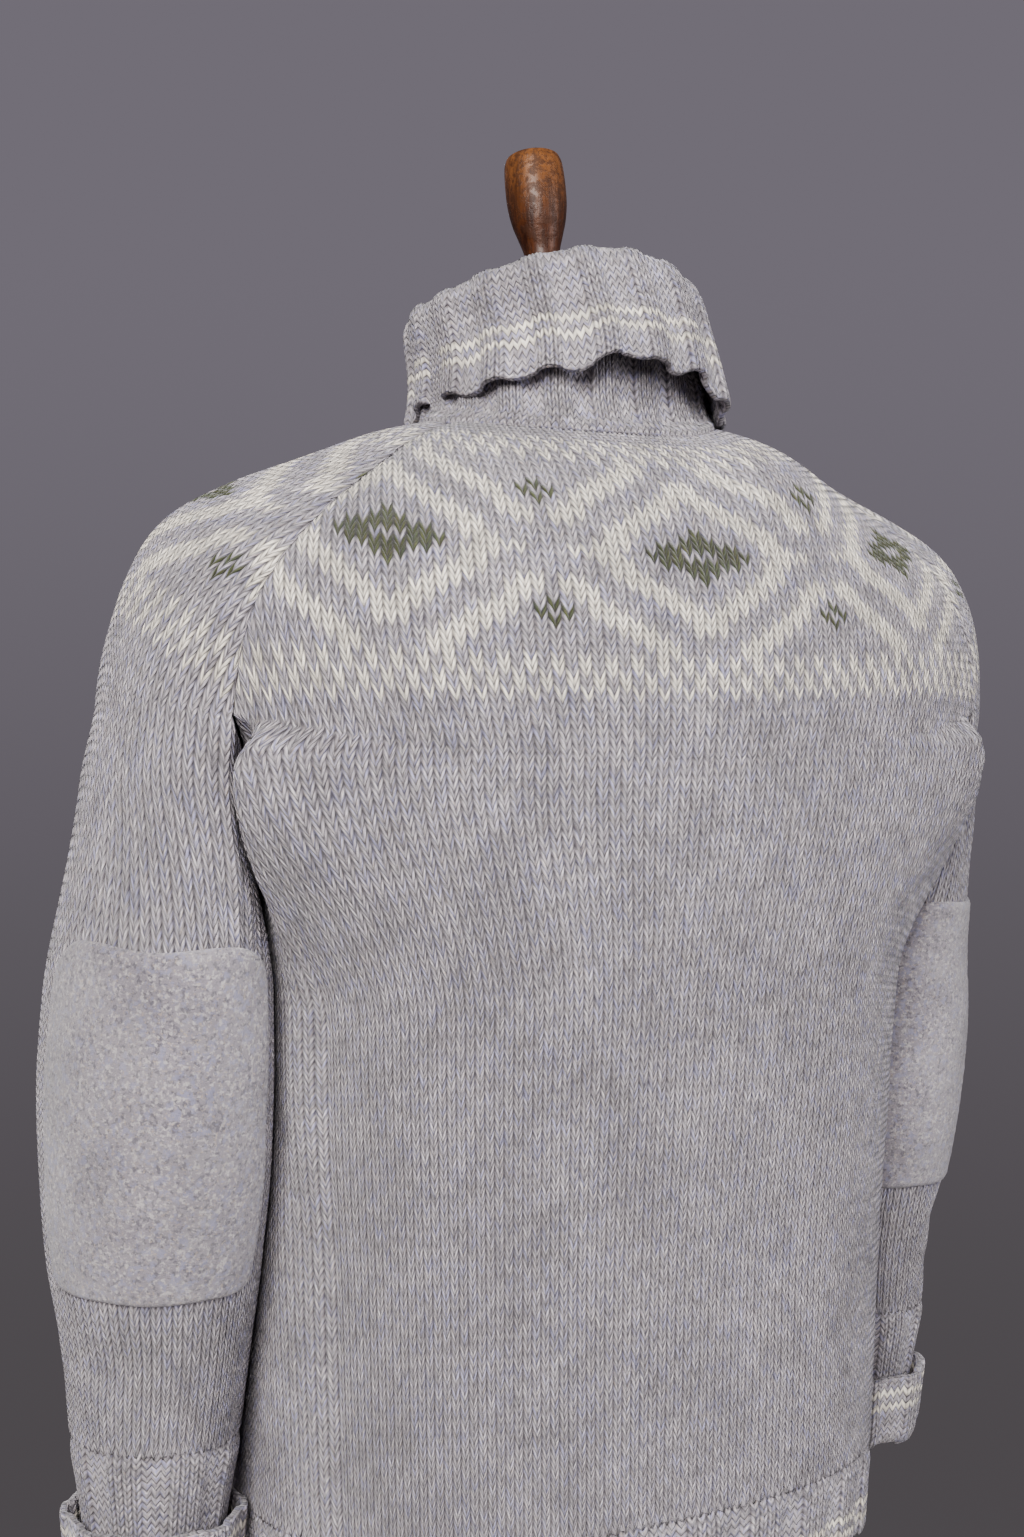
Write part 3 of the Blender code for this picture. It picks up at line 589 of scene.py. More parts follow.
def add_piece(name, points, faces, corner_marks, flip):
    # corner_marks: for each face, its stitch place (wale, row) at each corner and its yarn (cream, green,
    # purl, and how much tighter than usual it is knitted)
    mesh = bpy.data.meshes.new(name)
    placed = points + np.array((0.0, 0.0, UNDERARM_Z))
    if flip:
        faces = [tuple(reversed(face)) for face in faces]
        corner_marks = [(tuple(reversed(places)), yarn) for places, yarn in corner_marks]
    used = sorted({corner for face in faces for corner in face})
    renumbered = {old: new for new, old in enumerate(used)}
    faces = [tuple(renumbered[corner] for corner in face) for face in faces]
    mesh.from_pydata(placed[used].tolist(), [], faces)
    places = np.zeros((len(mesh.loops), 2))
    yarns = np.zeros((len(mesh.loops), 4))
    corner = 0
    for face, (spots, yarn) in zip(faces, corner_marks):
        for spot in spots:
            places[corner] = spot
            yarns[corner, :len(yarn)] = yarn
            corner += 1
    stitch_map = mesh.uv_layers.new(name="stitches")
    stitch_map.data.foreach_set("uv", places.ravel())
    marks = mesh.attributes.new("yarn", "FLOAT_COLOR", "CORNER")
    marks.data.foreach_set("color", yarns.ravel())
    mesh.shade_smooth()
    mesh.update()
    piece = bpy.data.objects.new(name, mesh)
    bpy.context.scene.collection.objects.link(piece)
    triangles = sum(len(face) - 2 for face in faces)
    print(name, "has", triangles, "triangles")
    return piece


YARN_MARKS = [(0.0, 0.0, 0.0), (1.0, 0.0, 0.0), (0.0, 1.0, 0.0)]


def grid_faces(rows, columns, closed, start=0):
    faces = []
    for row in range(rows - 1):
        for column in range(columns if closed else columns - 1):
            after = (column + 1) % columns
            low = start + row * columns
            faces.append((low + column, low + after, low + columns + after, low + columns + column))
    return faces


# %% Knit a fine side
def knit_side(place, wales, rows, seam_wales, round_it, folds):
    # wales: quarter-wale columns. A face is knitted where its middle lies inside the raglan seam or below it
    lines = np.arange(rows + 1)
    u, v = np.meshgrid(wales, lines.astype(float))
    # The last rows are drawn together, so that the lower edge is straight
    ease = SLANT * np.clip((v - rows + EDGE_ROWS) / EDGE_ROWS, 0.0, 1.0)
    v = np.where(lines[:, None] == 0, v, v + slant_at(u) - ease)
    points, outward = place(u, v)
    low = row_place(u, v, seam_wales)
    seam = seam_at(low, seam_wales)
    in_yoke = (low < YOKE_ROWS) & (np.abs(u) < seam_wales[-1] + 1.0)
    beside = np.where(in_yoke, np.maximum(seam - np.abs(u), 0.0), FAR)
    armhole = np.where(~in_yoke & (np.abs(u) > seam_wales[-1]), (low - YOKE_ROWS) * 1.2, FAR)
    border = np.maximum(np.minimum(np.minimum(beside, armhole), v * 1.2), 0.0)
    lift = crest_at(u) * (0.4 + 0.6 * smooth_step(border)) + seam_dip(border)
    wale_width = np.linalg.norm(np.diff(points, axis=1), axis=-1).mean(axis=1) / (wales[1] - wales[0])
    plump = np.clip(wale_width / WALE_WIDTH, 0.6, 1.0)[:, None] * np.ones_like(u)
    if not round_it:
        lift = lift * (1.0 - 0.4 * smooth_step((np.abs(u) - seam_wales[-1] + 3.0) / 6.0))
    points = points + outward * (lift * plump + folds(u, v))[..., None]

    count = len(wales)
    quarter = wales[1] - wales[0]
    across = np.arange(count if round_it else count - 1)
    middle_u, middle_v = np.meshgrid(wales[across] + quarter / 2, lines[:-1] + 0.5)
    middle_low = row_place(middle_u, middle_v + slant_at(middle_u), seam_wales)
    kept = (middle_low >= YOKE_ROWS) | (np.abs(middle_u) < seam_at(middle_low, seam_wales))
    yarn = chart_yarn(np.round(middle_u).astype(int), (middle_v - 0.5).astype(int))
    shown = np.where(in_yoke, np.clip(u, -seam, seam), u) + MAP_SHIFT
    faces = []
    marks = []
    for row, column in zip(*np.nonzero(kept)):
        after = (column + 1) % count
        corner = row * count
        faces.append((int(corner + column), int(corner + after), int(corner + count + after),
                      int(corner + count + column)))
        end = 0 if after else quarter * count
        marks.append((((shown[row, column], row), (shown[row, after] + end, row),
                       (shown[row + 1, after] + end, row + 1), (shown[row + 1, column], row + 1)),
                      YARN_MARKS[yarn[row, column]] + (1.0 - plump[row, column],)))
    return points.reshape(-1, 3), faces, marks


def closed_piece(name, fine, back_side, flip):
    # Joins the fine outer side to the plain inner side
    points, faces, marks = fine
    inner_points, inner_faces = back_side
    count = len(points)
    outer_loops = border_loops(faces)
    inner_loops = border_loops(inner_faces)
    together = np.concatenate([points, inner_points])
    all_faces = list(faces)
    all_marks = list(marks)
    for face in inner_faces:
        all_faces.append(tuple(corner + count for corner in reversed(face)))
    for outer in outer_loops[:len(inner_loops)]:
        middle = together[outer].mean(axis=0)
        inner = min(inner_loops, key=lambda loop: np.linalg.norm(inner_points[loop].mean(axis=0) - middle))
        all_faces += zip_loops(together, outer, [corner + count for corner in inner])
    for face in all_faces[len(marks):]:
        all_marks.append((((0.25, 0.5),) * len(face), YARN_MARKS[0]))
    return add_piece(name, together, all_faces, all_marks, flip)


# %% [markdown]
# ## Heather wool
# Heather yarn is spun from fibres that were dyed before spinning, so it is never one flat grey: it holds
# pale, dark, bluish and warm flecks. Two shader groups are shared by every knitted piece. The first draws
# the plump arms of the stitches from the stitch map, where one unit is one wale across and one row down.
# The second mixes the flecks. Both put out only colours, masks and heights, and the Principled shader
# stays in each material.

# %% Node helpers
def new_group(name, inputs, outputs):
    group = bpy.data.node_groups.new(name, "ShaderNodeTree")
    for label, kind, value in inputs:
        socket = group.interface.new_socket(label, in_out="INPUT", socket_type="NodeSocket" + kind)
        if value is not None:
            socket.default_value = value
    for label, kind in outputs:
        group.interface.new_socket(label, in_out="OUTPUT", socket_type="NodeSocket" + kind)
    start = group.nodes.new("NodeGroupInput")
    end = group.nodes.new("NodeGroupOutput")
    return group, start, end


class Nodes:
    # Short ways to add the nodes that the finishes use again and again
    def __init__(self, tree):
        self.tree = tree

    def add(self, kind, **settings):
        node = self.tree.nodes.new("ShaderNode" + kind)
        for key, value in settings.items():
            setattr(node, key, value)
        return node

    def wire(self, value, socket):
        if hasattr(value, "is_linked"):
            self.tree.links.new(value, socket)
        else:
            socket.default_value = value

    def maths(self, operation, first, second=0.0, clamp=False):
        node = self.add("Math", operation=operation, use_clamp=clamp)
        self.wire(first, node.inputs[0])
        self.wire(second, node.inputs[1])
        return node.outputs[0]

    def times(self, first, second):
        return self.maths("MULTIPLY", first, second)

    def plus(self, first, second):
        return self.maths("ADD", first, second)

    def minus(self, first, second, clamp=False):
        return self.maths("SUBTRACT", first, second, clamp)

    def from_middle(self, value):
        # 0 in the middle of each whole unit and 1 at its ends
        part = self.maths("FRACT", value)
        return self.maths("ABSOLUTE", self.minus(self.times(part, 2.0), 1.0))

    def mixed(self, share, first, second, blend="MIX"):
        node = self.add("Mix", data_type="RGBA", blend_type=blend)
        self.wire(share, node.inputs[0])
        for value, socket in ((first, node.inputs[6]), (second, node.inputs[7])):
            self.wire((*value, 1.0) if isinstance(value, tuple) and len(value) == 3 else value, socket)
        return node.outputs[2]

    def mixed_height(self, share, first, second):
        node = self.add("Mix", data_type="FLOAT")
        for value, place in ((share, 0), (first, 2), (second, 3)):
            self.wire(value, node.inputs[place])
        return node.outputs[0]

    def shaded(self, colour, tone):
        return self.mixed(1.0, colour, self.vector(tone, tone, tone), "MULTIPLY")

    def ramp(self, value, low, high, start=0.0, end=1.0):
        node = self.add("MapRange", interpolation_type="SMOOTHSTEP")
        for item, socket in zip((value, low, high, start, end), node.inputs):
            self.wire(item, socket)
        return node.outputs[0]

    def noise(self, vector, scale, detail=2.0, roughness=0.5):
        node = self.add("TexNoise")
        for label, value in (("Vector", vector), ("Scale", scale), ("Detail", detail),
                             ("Roughness", roughness)):
            self.wire(value, node.inputs[label])
        return node.outputs["Fac"]

    def vector(self, first, second, third=0.0):
        node = self.add("CombineXYZ")
        for value, socket in zip((first, second, third), node.inputs):
            self.wire(value, socket)
        return node.outputs[0]

    def parted(self, vector):
        node = self.add("SeparateXYZ")
        self.wire(vector, node.inputs[0])
        return node.outputs["X"], node.outputs["Y"], node.outputs["Z"]

    def raise_surface(self, shader, height, distance, strength=1.0):
        node = self.add("Bump")
        for label, value in (("Height", height), ("Distance", distance), ("Strength", strength)):
            self.wire(value, node.inputs[label])
        self.wire(node.outputs[0], shader.inputs["Normal"])


def new_finish(name):
    # A new material, its nodes, its Principled shader and the place on the object
    finish = bpy.data.materials.new(name)
    finish.use_nodes = True
    n = Nodes(finish.node_tree)
    shader = finish.node_tree.nodes["Principled BSDF"]
    return finish, n, shader, n.add("TexCoord").outputs["Object"]


def set_values(shader, **values):
    for label, value in values.items():
        shader.inputs[label.replace("_", " ")].default_value = value


# %% Knit stitch group
def make_knit_stitch():
    group, start, end = new_group(
        "knit stitch",
        [("Wale", "Float", 0.0), ("Row", "Float", 0.0), ("Wander", "Float", 0.10), ("Purl", "Float", 0.0)],
        [("Height", "Float"), ("Gap Shade", "Float"), ("Stitch", "Float")])
    n = Nodes(group)
    wale, row, wander, purl = (start.outputs[name] for name in ("Wale", "Row", "Wander", "Purl"))
    loose = n.minus(n.noise(n.vector(wale, row), 0.9, 1.0), 0.5)
    uneven = n.minus(n.noise(n.vector(row, wale, 7.0), 0.7, 1.0), 0.5)
    moved_row = n.plus(row, n.times(loose, n.times(wander, 4.0)))
    moved_wale = n.plus(wale, n.times(uneven, n.times(wander, 1.6)))
    arms = n.times(moved_wale, 2.0)
    side = n.from_middle(moved_row)
    tip = n.from_middle(arms)
    beside = n.from_middle(moved_wale)
    round_arm = n.maths("SQRT", n.minus(1.0, n.times(side, side), clamp=True))
    taper = n.minus(1.0, n.maths("POWER", tip, 3.0), clamp=True)
    knit = n.times(round_arm, n.plus(0.25, n.times(taper, 0.75)))
    purled = n.times(round_arm, n.minus(0.9, n.times(beside, 0.35)))
    # Painted shade where strands meet: deep dots between two wales, fainter ones in the middle of a V, and a
    # faint line between rows
    dot = n.maths("POWER", side, 1.5)
    between = n.times(n.ramp(beside, 0.52, 0.90), n.plus(0.50, n.times(dot, 0.50)))
    within = n.times(n.ramp(beside, 0.42, 0.10), n.plus(0.22, n.times(dot, 0.68)))
    rows_apart = n.times(n.ramp(side, 0.78, 1.0), 0.05)
    painted_gap_shade = n.maths("MAXIMUM", n.maths("MAXIMUM", between, within), rows_apart)
    cell = n.add("TexWhiteNoise", noise_dimensions="2D")
    n.wire(n.vector(n.maths("FLOOR", arms), n.maths("FLOOR", moved_row)), cell.inputs["Vector"])
    n.wire(n.mixed_height(purl, knit, purled), end.inputs["Height"])
    # A purl stitch gets its painted shade where it sinks lowest
    n.wire(n.mixed_height(purl, painted_gap_shade, n.ramp(purled, 0.66, 0.10)), end.inputs["Gap Shade"])
    n.wire(cell.outputs["Value"], end.inputs["Stitch"])
    return group


# %% Heather yarn group
YARN_COLOURS = ("Ground", "Pale", "Dark", "Cool", "Warm")


def make_heather_yarn():
    group, start, end = new_group(
        "heather yarn",
        [("Place", "Vector", None), ("Fibre", "Vector", None), ("Ground", "Color", (0.3, 0.3, 0.33, 1.0)),
         ("Pale", "Color", (0.6, 0.6, 0.6, 1.0)), ("Dark", "Color", (0.1, 0.1, 0.1, 1.0)),
         ("Cool", "Color", (0.3, 0.35, 0.5, 1.0)), ("Warm", "Color", (0.4, 0.33, 0.26, 1.0)),
         ("Fleck", "Float", 1.0)],
        [("Color", "Color"), ("Fuzz", "Float")])
    n = Nodes(group)
    place, fibre, fleck = (start.outputs[name] for name in ("Place", "Fibre", "Fleck"))
    colour = start.outputs["Ground"]
    for label, scale, low, high, strength, shift in (
            ("Pale", 0.9, 0.50, 0.64, 0.75, 0.0), ("Dark", 0.8, 0.52, 0.64, 0.70, 31.0),
            ("Cool", 0.45, 0.52, 0.66, 0.75, 57.0), ("Warm", 1.2, 0.58, 0.68, 0.65, 83.0)):
        moved = n.add("VectorMath", operation="ADD")
        n.wire(fibre, moved.inputs[0])
        moved.inputs[1].default_value = (shift, shift * 1.7, shift * 0.6)
        mask = n.ramp(n.noise(moved.outputs[0], scale, 2.0, 0.6), low, high)
        colour = n.mixed(n.times(mask, n.times(fleck, strength)), colour, start.outputs[label])
    broad = n.ramp(n.noise(place, 26.0, 3.0), 0.30, 0.70, 0.87, 1.10)
    n.wire(n.shaded(colour, broad), end.inputs["Color"])
    n.wire(n.noise(place, 1100.0, 3.0, 0.65), end.inputs["Fuzz"])
    return group


KNIT_STITCH = make_knit_stitch()
HEATHER_YARN = make_heather_yarn()
print("shared groups:", KNIT_STITCH.name, "and", HEATHER_YARN.name)


def spun_yarn(n, place, fibre, fleck, *colours):
    group = n.add("Group", node_tree=HEATHER_YARN)
    for label, value in (("Place", place), ("Fibre", fibre), ("Fleck", fleck)):
        n.wire(value, group.inputs[label])
    for label, colour in zip(YARN_COLOURS, colours):
        group.inputs[label].default_value = (*colour, 1.0)
    return group


# %% [markdown]
# ## The knitted material
# The yarn marks that were written on the mesh choose between three dyed yarns. Wool is matt, with a soft
# glow where light grazes its fibres, so the roughness is high and a little sheen is set on the shader.
# The gaps between stitches are darker because light is lost in them.

# %% Knitted wool
STITCH_DEPTH = 0.0012      # relief of the stitches' arms, in metres
# Colour of the painted shade in the gaps between stitches
PAINTED_GAP_SHADE = (0.050, 0.043, 0.052)


def knitted_wool(name, wander=0.10, shade=1.0):
    finish, n, shader, place = new_finish(name)
    wale, row, _ = n.parted(n.add("UVMap", uv_map="stitches").outputs[0])
    yarn = n.add("Attribute", attribute_name="yarn")
    marks = n.add("SeparateColor")
    n.wire(yarn.outputs["Color"], marks.inputs[0])
    stitch = n.add("Group", node_tree=KNIT_STITCH)
    for label, value in (("Wale", wale), ("Row", row), ("Purl", marks.outputs["Blue"]),
                         ("Wander", wander)):
        n.wire(value, stitch.inputs[label])
    fibre = n.vector(n.times(wale, 2.2), n.times(row, 3.4))
    grey = spun_yarn(n, place, fibre, 1.0, (0.46, 0.42, 0.45), (0.76, 0.72, 0.71), (0.19, 0.175, 0.205),
                     (0.37, 0.36, 0.56), (0.56, 0.46, 0.38))
    cream = spun_yarn(n, place, fibre, 0.6, (0.96, 0.88, 0.765), (0.985, 0.95, 0.87), (0.74, 0.67, 0.57),
                      (0.86, 0.83, 0.79), (0.82, 0.72, 0.58))
    green = spun_yarn(n, place, fibre, 0.9, (0.075, 0.085, 0.036), (0.15, 0.16, 0.08), (0.040, 0.045, 0.025),
                      (0.08, 0.10, 0.07), (0.16, 0.12, 0.06))
    colour = n.mixed(marks.outputs["Red"], grey.outputs["Color"], cream.outputs["Color"])
    colour = n.mixed(marks.outputs["Green"], colour, green.outputs["Color"])
    streak = n.noise(n.vector(n.times(wale, 0.30), n.times(row, 1.1)), 1.0, 2.0, 0.6)
    # shade makes the whole colour darker, as painted shade
    tone = n.times(n.ramp(stitch.outputs["Stitch"], 0.0, 1.0, 0.86 * shade, 1.14 * shade),
                   n.ramp(streak, 0.32, 0.68, 0.80, 1.20))
    # Tighter knitting has finer gaps, with less painted shade in them, and less relief
    tight = yarn.outputs["Alpha"]
    gap_shade = n.times(stitch.outputs["Gap Shade"], n.minus(0.94, n.times(tight, 1.15)))
    # Painted shade in the gaps between stitches
    n.wire(n.mixed(gap_shade, n.shaded(colour, tone), PAINTED_GAP_SHADE), shader.inputs["Base Color"])
    relief = n.times(stitch.outputs["Height"], n.minus(1.0, n.times(tight, 1.2)))
    n.raise_surface(shader, n.plus(relief, n.times(grey.outputs["Fuzz"], 0.45)), STITCH_DEPTH)
    set_values(shader, Roughness=0.93, Specular_IOR_Level=0.25, Sheen_Weight=0.35, Sheen_Roughness=0.55)
    return finish


WOOL = knitted_wool("heather wool")
# The ribbed wool is the same yarn painted ten per cent darker, as painted shade for its ribs
RIBBING = knitted_wool("ribbed wool", 0.13, 0.90)

# %% [markdown]
# ## The back and the front
# Each panel is knitted from the neck down. Its wales stay parallel to the middle, and the ones at the sides
# end at the raglan seam, which is how the real panel is narrowed. The two panels carry the same chart, with
# a diamond on the middle wale. The plain inner side is a coarse grid at the cloth's thickness.

# %% Inner side of a panel
def inner_rows(rows, cloth, columns):
    found = []
    for row in rows:
        points, outward = read_cloth(cloth, np.full(len(columns), row), columns)
        found.append(points - outward * WALL)
    return found


def inside(yoke, trunk, flank, round_it):
    # The same control grids at the cloth's thickness, in every second column
    columns = np.arange(0.0, yoke.points.shape[1], 2.0)
    upper_rows = inner_rows(np.arange(0.0, GRID_STEPS, 2.0), yoke, columns)
    lower_columns = np.arange(0.0, trunk.points.shape[1], 2.0)
    lower_rows = inner_rows(np.arange(0.0, GRID_STEPS + 0.1, 1.0), trunk, lower_columns)
    offset = len(upper_rows) * len(columns)
    faces = grid_faces(len(upper_rows), len(columns), False)
    for column in range(len(columns) - 1):
        upper = offset - len(columns) + column
        lower = offset + flank // 2 + column
        faces.append((upper, upper + 1, lower + 1, lower))
    faces += grid_faces(len(lower_rows), len(lower_columns), round_it, start=offset)
    return np.concatenate(upper_rows + lower_rows), faces


# %% Creases
def creased(creases):
    # Each crease: wale and row of its two ends, its half width in wales, and its depth in millimetres
    def folds(u, v):
        total = np.zeros_like(u)
        for from_u, from_v, to_u, to_v, width, depth in creases:
            length = np.hypot(to_u - from_u, (to_v - from_v) * ROW_SHARE)
            along = np.array([to_u - from_u, (to_v - from_v) * ROW_SHARE]) / length
            over = u - from_u
            down = (v - from_v) * ROW_SHARE
            way = (over * along[0] + down * along[1]) / length
            aside = over * along[1] - down * along[0]
            fade = smooth_step(way / 0.4) * smooth_step((1.0 - way) / 0.4)
            total -= depth * 0.001 * fade * np.exp(-(aside / width) ** 2)
        return total
    return folds


BACK_CREASES = [
    (43, 52, 20, 84, 2.4, 1.3), (41, 58, 24, 92, 2.6, -0.9), (47, 62, 32, 104, 2.8, 1.5),
    (50, 78, 40, 122, 2.4, 1.6),
    (-43, 52, -27, 76, 1.8, 1.6), (-47, 64, -36, 100, 2.2, 1.9), (-44, 58, -32, 86, 2.0, -1.2),
    (-50, 84, -44, 128, 2.0, 1.8), (15, 72, 11, 138, 5.0, 1.3), (-15, 78, -12, 132, 5.5, 1.2),
    (34, 128, 12, 121, 2.6, 1.3), (-34, 124, -16, 131, 2.4, 1.2), (2, 90, -1, 142, 4.5, -1.0),
]
FRONT_CREASES = [
    (43, 52, 24, 78, 2.1, 1.8), (47, 66, 35, 108, 2.4, 1.9), (42, 58, 28, 88, 2.2, -1.2),
    (50, 82, 43, 120, 2.0, 1.8),
    (-43, 53, -22, 82, 2.2, 1.9), (-47, 62, -33, 98, 2.3, 1.7), (-49, 80, -41, 126, 2.3, 2.0),
    (10, 66, 13, 130, 5.0, 1.4), (-18, 80, -14, 138, 4.6, 1.4), (32, 132, 10, 125, 2.6, 1.2),
    (-30, 120, -12, 127, 2.4, 1.1),
]


# %% Knit the panels
def knit_panel(name, yoke, trunk, node, flip, folds):
    place = panel_place(yoke, trunk)
    wales = np.arange(-PANEL_HALF, PANEL_HALF + 0.01, 0.25)
    fine = knit_side(place, wales, YOKE_ROWS + TRUNK_ROWS, PANEL_SEAM, False, folds)
    piece = closed_piece(name, fine, inside(yoke, trunk, GRID_UNDERARM, False), flip)
    piece.data.materials.append(WOOL)
    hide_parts(node)
    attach(piece, "root")


# The front has less to cover than the back
knit_panel("knit_back", BACK_YOKE, BACK_TRUNK, "back", False, creased(BACK_CREASES))
knit_panel("knit_front", FRONT_YOKE, FRONT_TRUNK, "front", True, creased(FRONT_CREASES))

# %% [markdown]
# ## The sleeves
# A raglan sleeve is one piece: a cap that runs from the neck over the shoulder, then a tube. A diamond of
# the chart lies on the sleeve's top line, and the ones beside it are cut by the seams. The right sleeve hangs
# a little further forward than the left, and its knitting is the left one's mirrored.

# %% Knit the sleeves
def mirrored(grid):
    return grid * np.array((-1.0, 1.0, 1.0))


SLEEVE_CLOTHS = {
    "left": (make_cloth(spread_left(cap_grid())), make_cloth(tube_grid(0.0), closed=True)),
    "right": (make_cloth(raised_shoulder(mirrored(cap_grid())), flip=True),
              make_cloth(mirrored(tube_grid(RIGHT_FORWARD)), closed=True, flip=True)),
}
SLEEVE_PLACES = {side: sleeve_place(*cloths) for side, cloths in SLEEVE_CLOTHS.items()}


# Wale -19.5 is the back end of the raglan seam, 0 the top line, and the inside of the arm is at 33
SLEEVE_CREASES = {
    "left": [(-18.6, 46, -18.2, 94, 0.6, 2.6), (-17.0, 45, -16.6, 96, 0.6, 2.4),
             (-15.4, 47, -15.2, 90, 0.6, 2.0), (-13.8, 50, -13.6, 82, 0.6, 1.3),
             (47.6, 52, 47.4, 94, 0.6, 2.4), (46.0, 54, 46.0, 90, 0.6, 1.9), (44.4, 56, 44.6, 84, 0.6, 1.4),
             (-10.5, 50, -7, 70, 1.6, 1.2), (-16, 118, -2, 125, 1.8, 1.6), (-12, 128, 4, 121, 1.7, -1.2),
             (12, 60, 19, 84, 1.8, 2.2), (18, 86, 36, 92, 1.6, 2.8), (20, 95, 38, 88, 1.6, 2.4),
             (19, 101, 33, 98, 1.8, 1.8), (8, 116, 22, 124, 1.8, 1.6), (24, 122, 40, 117, 1.9, 1.8)],
    "right": [(-17, 48, -12, 70, 1.3, 2.6), (-14, 50, -9, 68, 1.4, -1.6), (-14, 120, -3, 117, 1.8, 1.8),
              (-15, 128, 2, 123, 1.7, 1.4), (13, 62, 18, 82, 1.9, 2.0), (19, 84, 35, 90, 1.7, 2.6),
              (18, 93, 37, 87, 1.5, 2.6), (20, 103, 34, 97, 1.7, 2.0), (9, 121, 24, 116, 1.8, 1.5)],
}


def knit_sleeve(side):
    place = SLEEVE_PLACES[side]
    folds = creased(SLEEVE_CREASES[side])
    wales = np.arange(SLEEVE_WALES * 4) * 0.25 - CAP_SEAM[-1]
    fine = knit_side(place, wales, YOKE_ROWS + SLEEVE_ROWS, CAP_SEAM, True, folds)
    piece = closed_piece("knit_sleeve_" + side, fine, inside(*SLEEVE_CLOTHS[side], 0, True), side == "right")
    piece.data.materials.append(WOOL)
    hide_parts("sleeve_" + side)
    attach(piece, "root")


for side in ("left", "right"):
    knit_sleeve(side)

# %% [markdown]
# ## Ribbing
# The collar, the cuffs and the hem are ribbed: columns of knit stitches stand forward and columns of purl
# stitches sink back, four and three wales wide. What is knit on one side is purl on the other, so a
# turned collar shows the other face of the same ribs. These tubes are therefore knitted on both sides, and
# their middle layer weaves to and fro. Two cream stripes run near each free edge.

# %% Ribbed tubes
RIB_REPEAT = 7
RIB_KNIT = 4


def rib_wave(u):
    # +1 on the knit wales of the first side, -1 on the purl wales
    middle = 2 * pi * (np.mod(u, RIB_REPEAT) - RIB_KNIT / 2) / RIB_REPEAT
    turn = cos(pi * RIB_KNIT / RIB_REPEAT)
    return np.tanh(3.5 * (np.cos(middle) - turn))


def rib_rows(points, spacing):
    # Fractional rows of a control grid, evenly spaced along its middle column
    middle = points.mean(axis=1)
    radius = np.linalg.norm(points[:, 0] - middle, axis=1)
    path = np.stack([radius, middle[:, 2]], axis=1)
    steps = np.linalg.norm(np.diff(path, axis=0), axis=1)
    length = np.concatenate(([0.0], np.cumsum(steps)))
    count = max(int(round(length[-1] / spacing)), 2)
    return np.interp(np.linspace(0.0, length[-1], count + 1), length, np.arange(len(points))), length[-1]


def knit_rib_tube(name, cloth, wales, spacing, wave_depth, stripe_rows, finish, flip, shaped=None,
                  fold_calm=0.0):
    # cloth is the middle layer. stripe_rows are counted from its last row, which is the free edge
    rows, deep = rib_rows(cloth.points, spacing)
    count = wales * 4
    u = np.arange(count) / 4.0
    columns = u / wales * cloth.points.shape[1]
    grid_u, grid_row = np.meshgrid(u, np.arange(len(rows), dtype=float))
    last = len(rows) - 1
    slanted = grid_row + 0.8 * (1.0 - 2.0 * np.abs(np.mod(grid_u, 1.0) - 0.5)) - 0.4
    slanted = np.clip(np.where((grid_row == 0) | (grid_row == last), grid_row, slanted), 0.0, last)
    places = np.interp(slanted, np.arange(len(rows)), rows)
    points, outward = read_cloth(cloth, places, np.broadcast_to(columns, places.shape))
    if shaped is not None:
        points = points + shaped(grid_u / wales, slanted / last, outward)
    wave = rib_wave(grid_u) * smooth_step((grid_row - 0.5) / 3.0)
    wave = wave * (1.0 - fold_calm * np.exp(-((grid_row / last - 0.55) / 0.12) ** 2))
    arm = np.interp(np.abs(np.mod(grid_u, 1.0) - 0.5), [0.0, 0.25, 0.5], [0.45, 0.8, 0.0]) * 0.001
    thin = np.where(grid_row > last - 0.5, 0.55, 1.0)
    half = RIB_WALL * 0.42 * thin
    knit = smooth_step(wave * 0.5 + 0.5)
    first = points + outward * (wave * wave_depth + half + arm * knit)[..., None]
    second = points + outward * (wave * wave_depth - half - arm * (1.0 - knit))[..., None]
    faces = grid_faces(len(rows), count, True)
    size = len(rows) * count
    marks = []
    for face_number, face in enumerate(faces):
        row, column = divmod(face_number, count)
        yarn = 1.0 if last - 1 - row in stripe_rows else 0.0
        purl = 1.0 - float(knit[row, column])
        left = u[column]
        marks.append((((left, row), (left + 0.25, row), (left + 0.25, row + 1), (left, row + 1)),
                      (yarn, 0.0, purl)))
    other = [tuple(corner + size for corner in reversed(face)) for face in faces]
    other_marks = [(tuple(reversed(spots)), (yarn[0], 0.0, 1.0 - yarn[2])) for spots, yarn in marks]
    ends_faces = []
    ends_marks = []
    for row, turned in ((0, True), (last, False)):
        for column in range(count):
            after = (column + 1) % count
            near = row * count + column
            far = row * count + after
            face = (near, far, far + size, near + size) if turned else (far, near, near + size, far + size)
            ends_faces.append(tuple(reversed(face)))
            ends_marks.append((((u[column], row),) * 4, (0.0, 0.0, 0.5)))
    piece = add_piece(name, np.concatenate([first.reshape(-1, 3), second.reshape(-1, 3)]),
                      faces + other + ends_faces, marks + other_marks + ends_marks, flip)
    piece.data.materials.append(finish)
    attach(piece, "root")
    print(name, "is", round(deep * 100, 1), "cm deep and has", last, "rows")
    return piece


# %% [markdown]
# ## The turned collar
# The collar stands up from the neck seam, turns over and hangs down outside by more than half its height. Its
# free edge ripples, because the purl ribs draw in and lift it, and dark gaps show under the ripples.

# %% Knit the collar
def collar_grid():
    angles = np.arange(0.0, 360.0, 3.75)
    rings = np.array([ring_points(ring, angles) for ring in COLLAR])
    rings[:4] = raised_shoulder(rings[:4])
    return rings


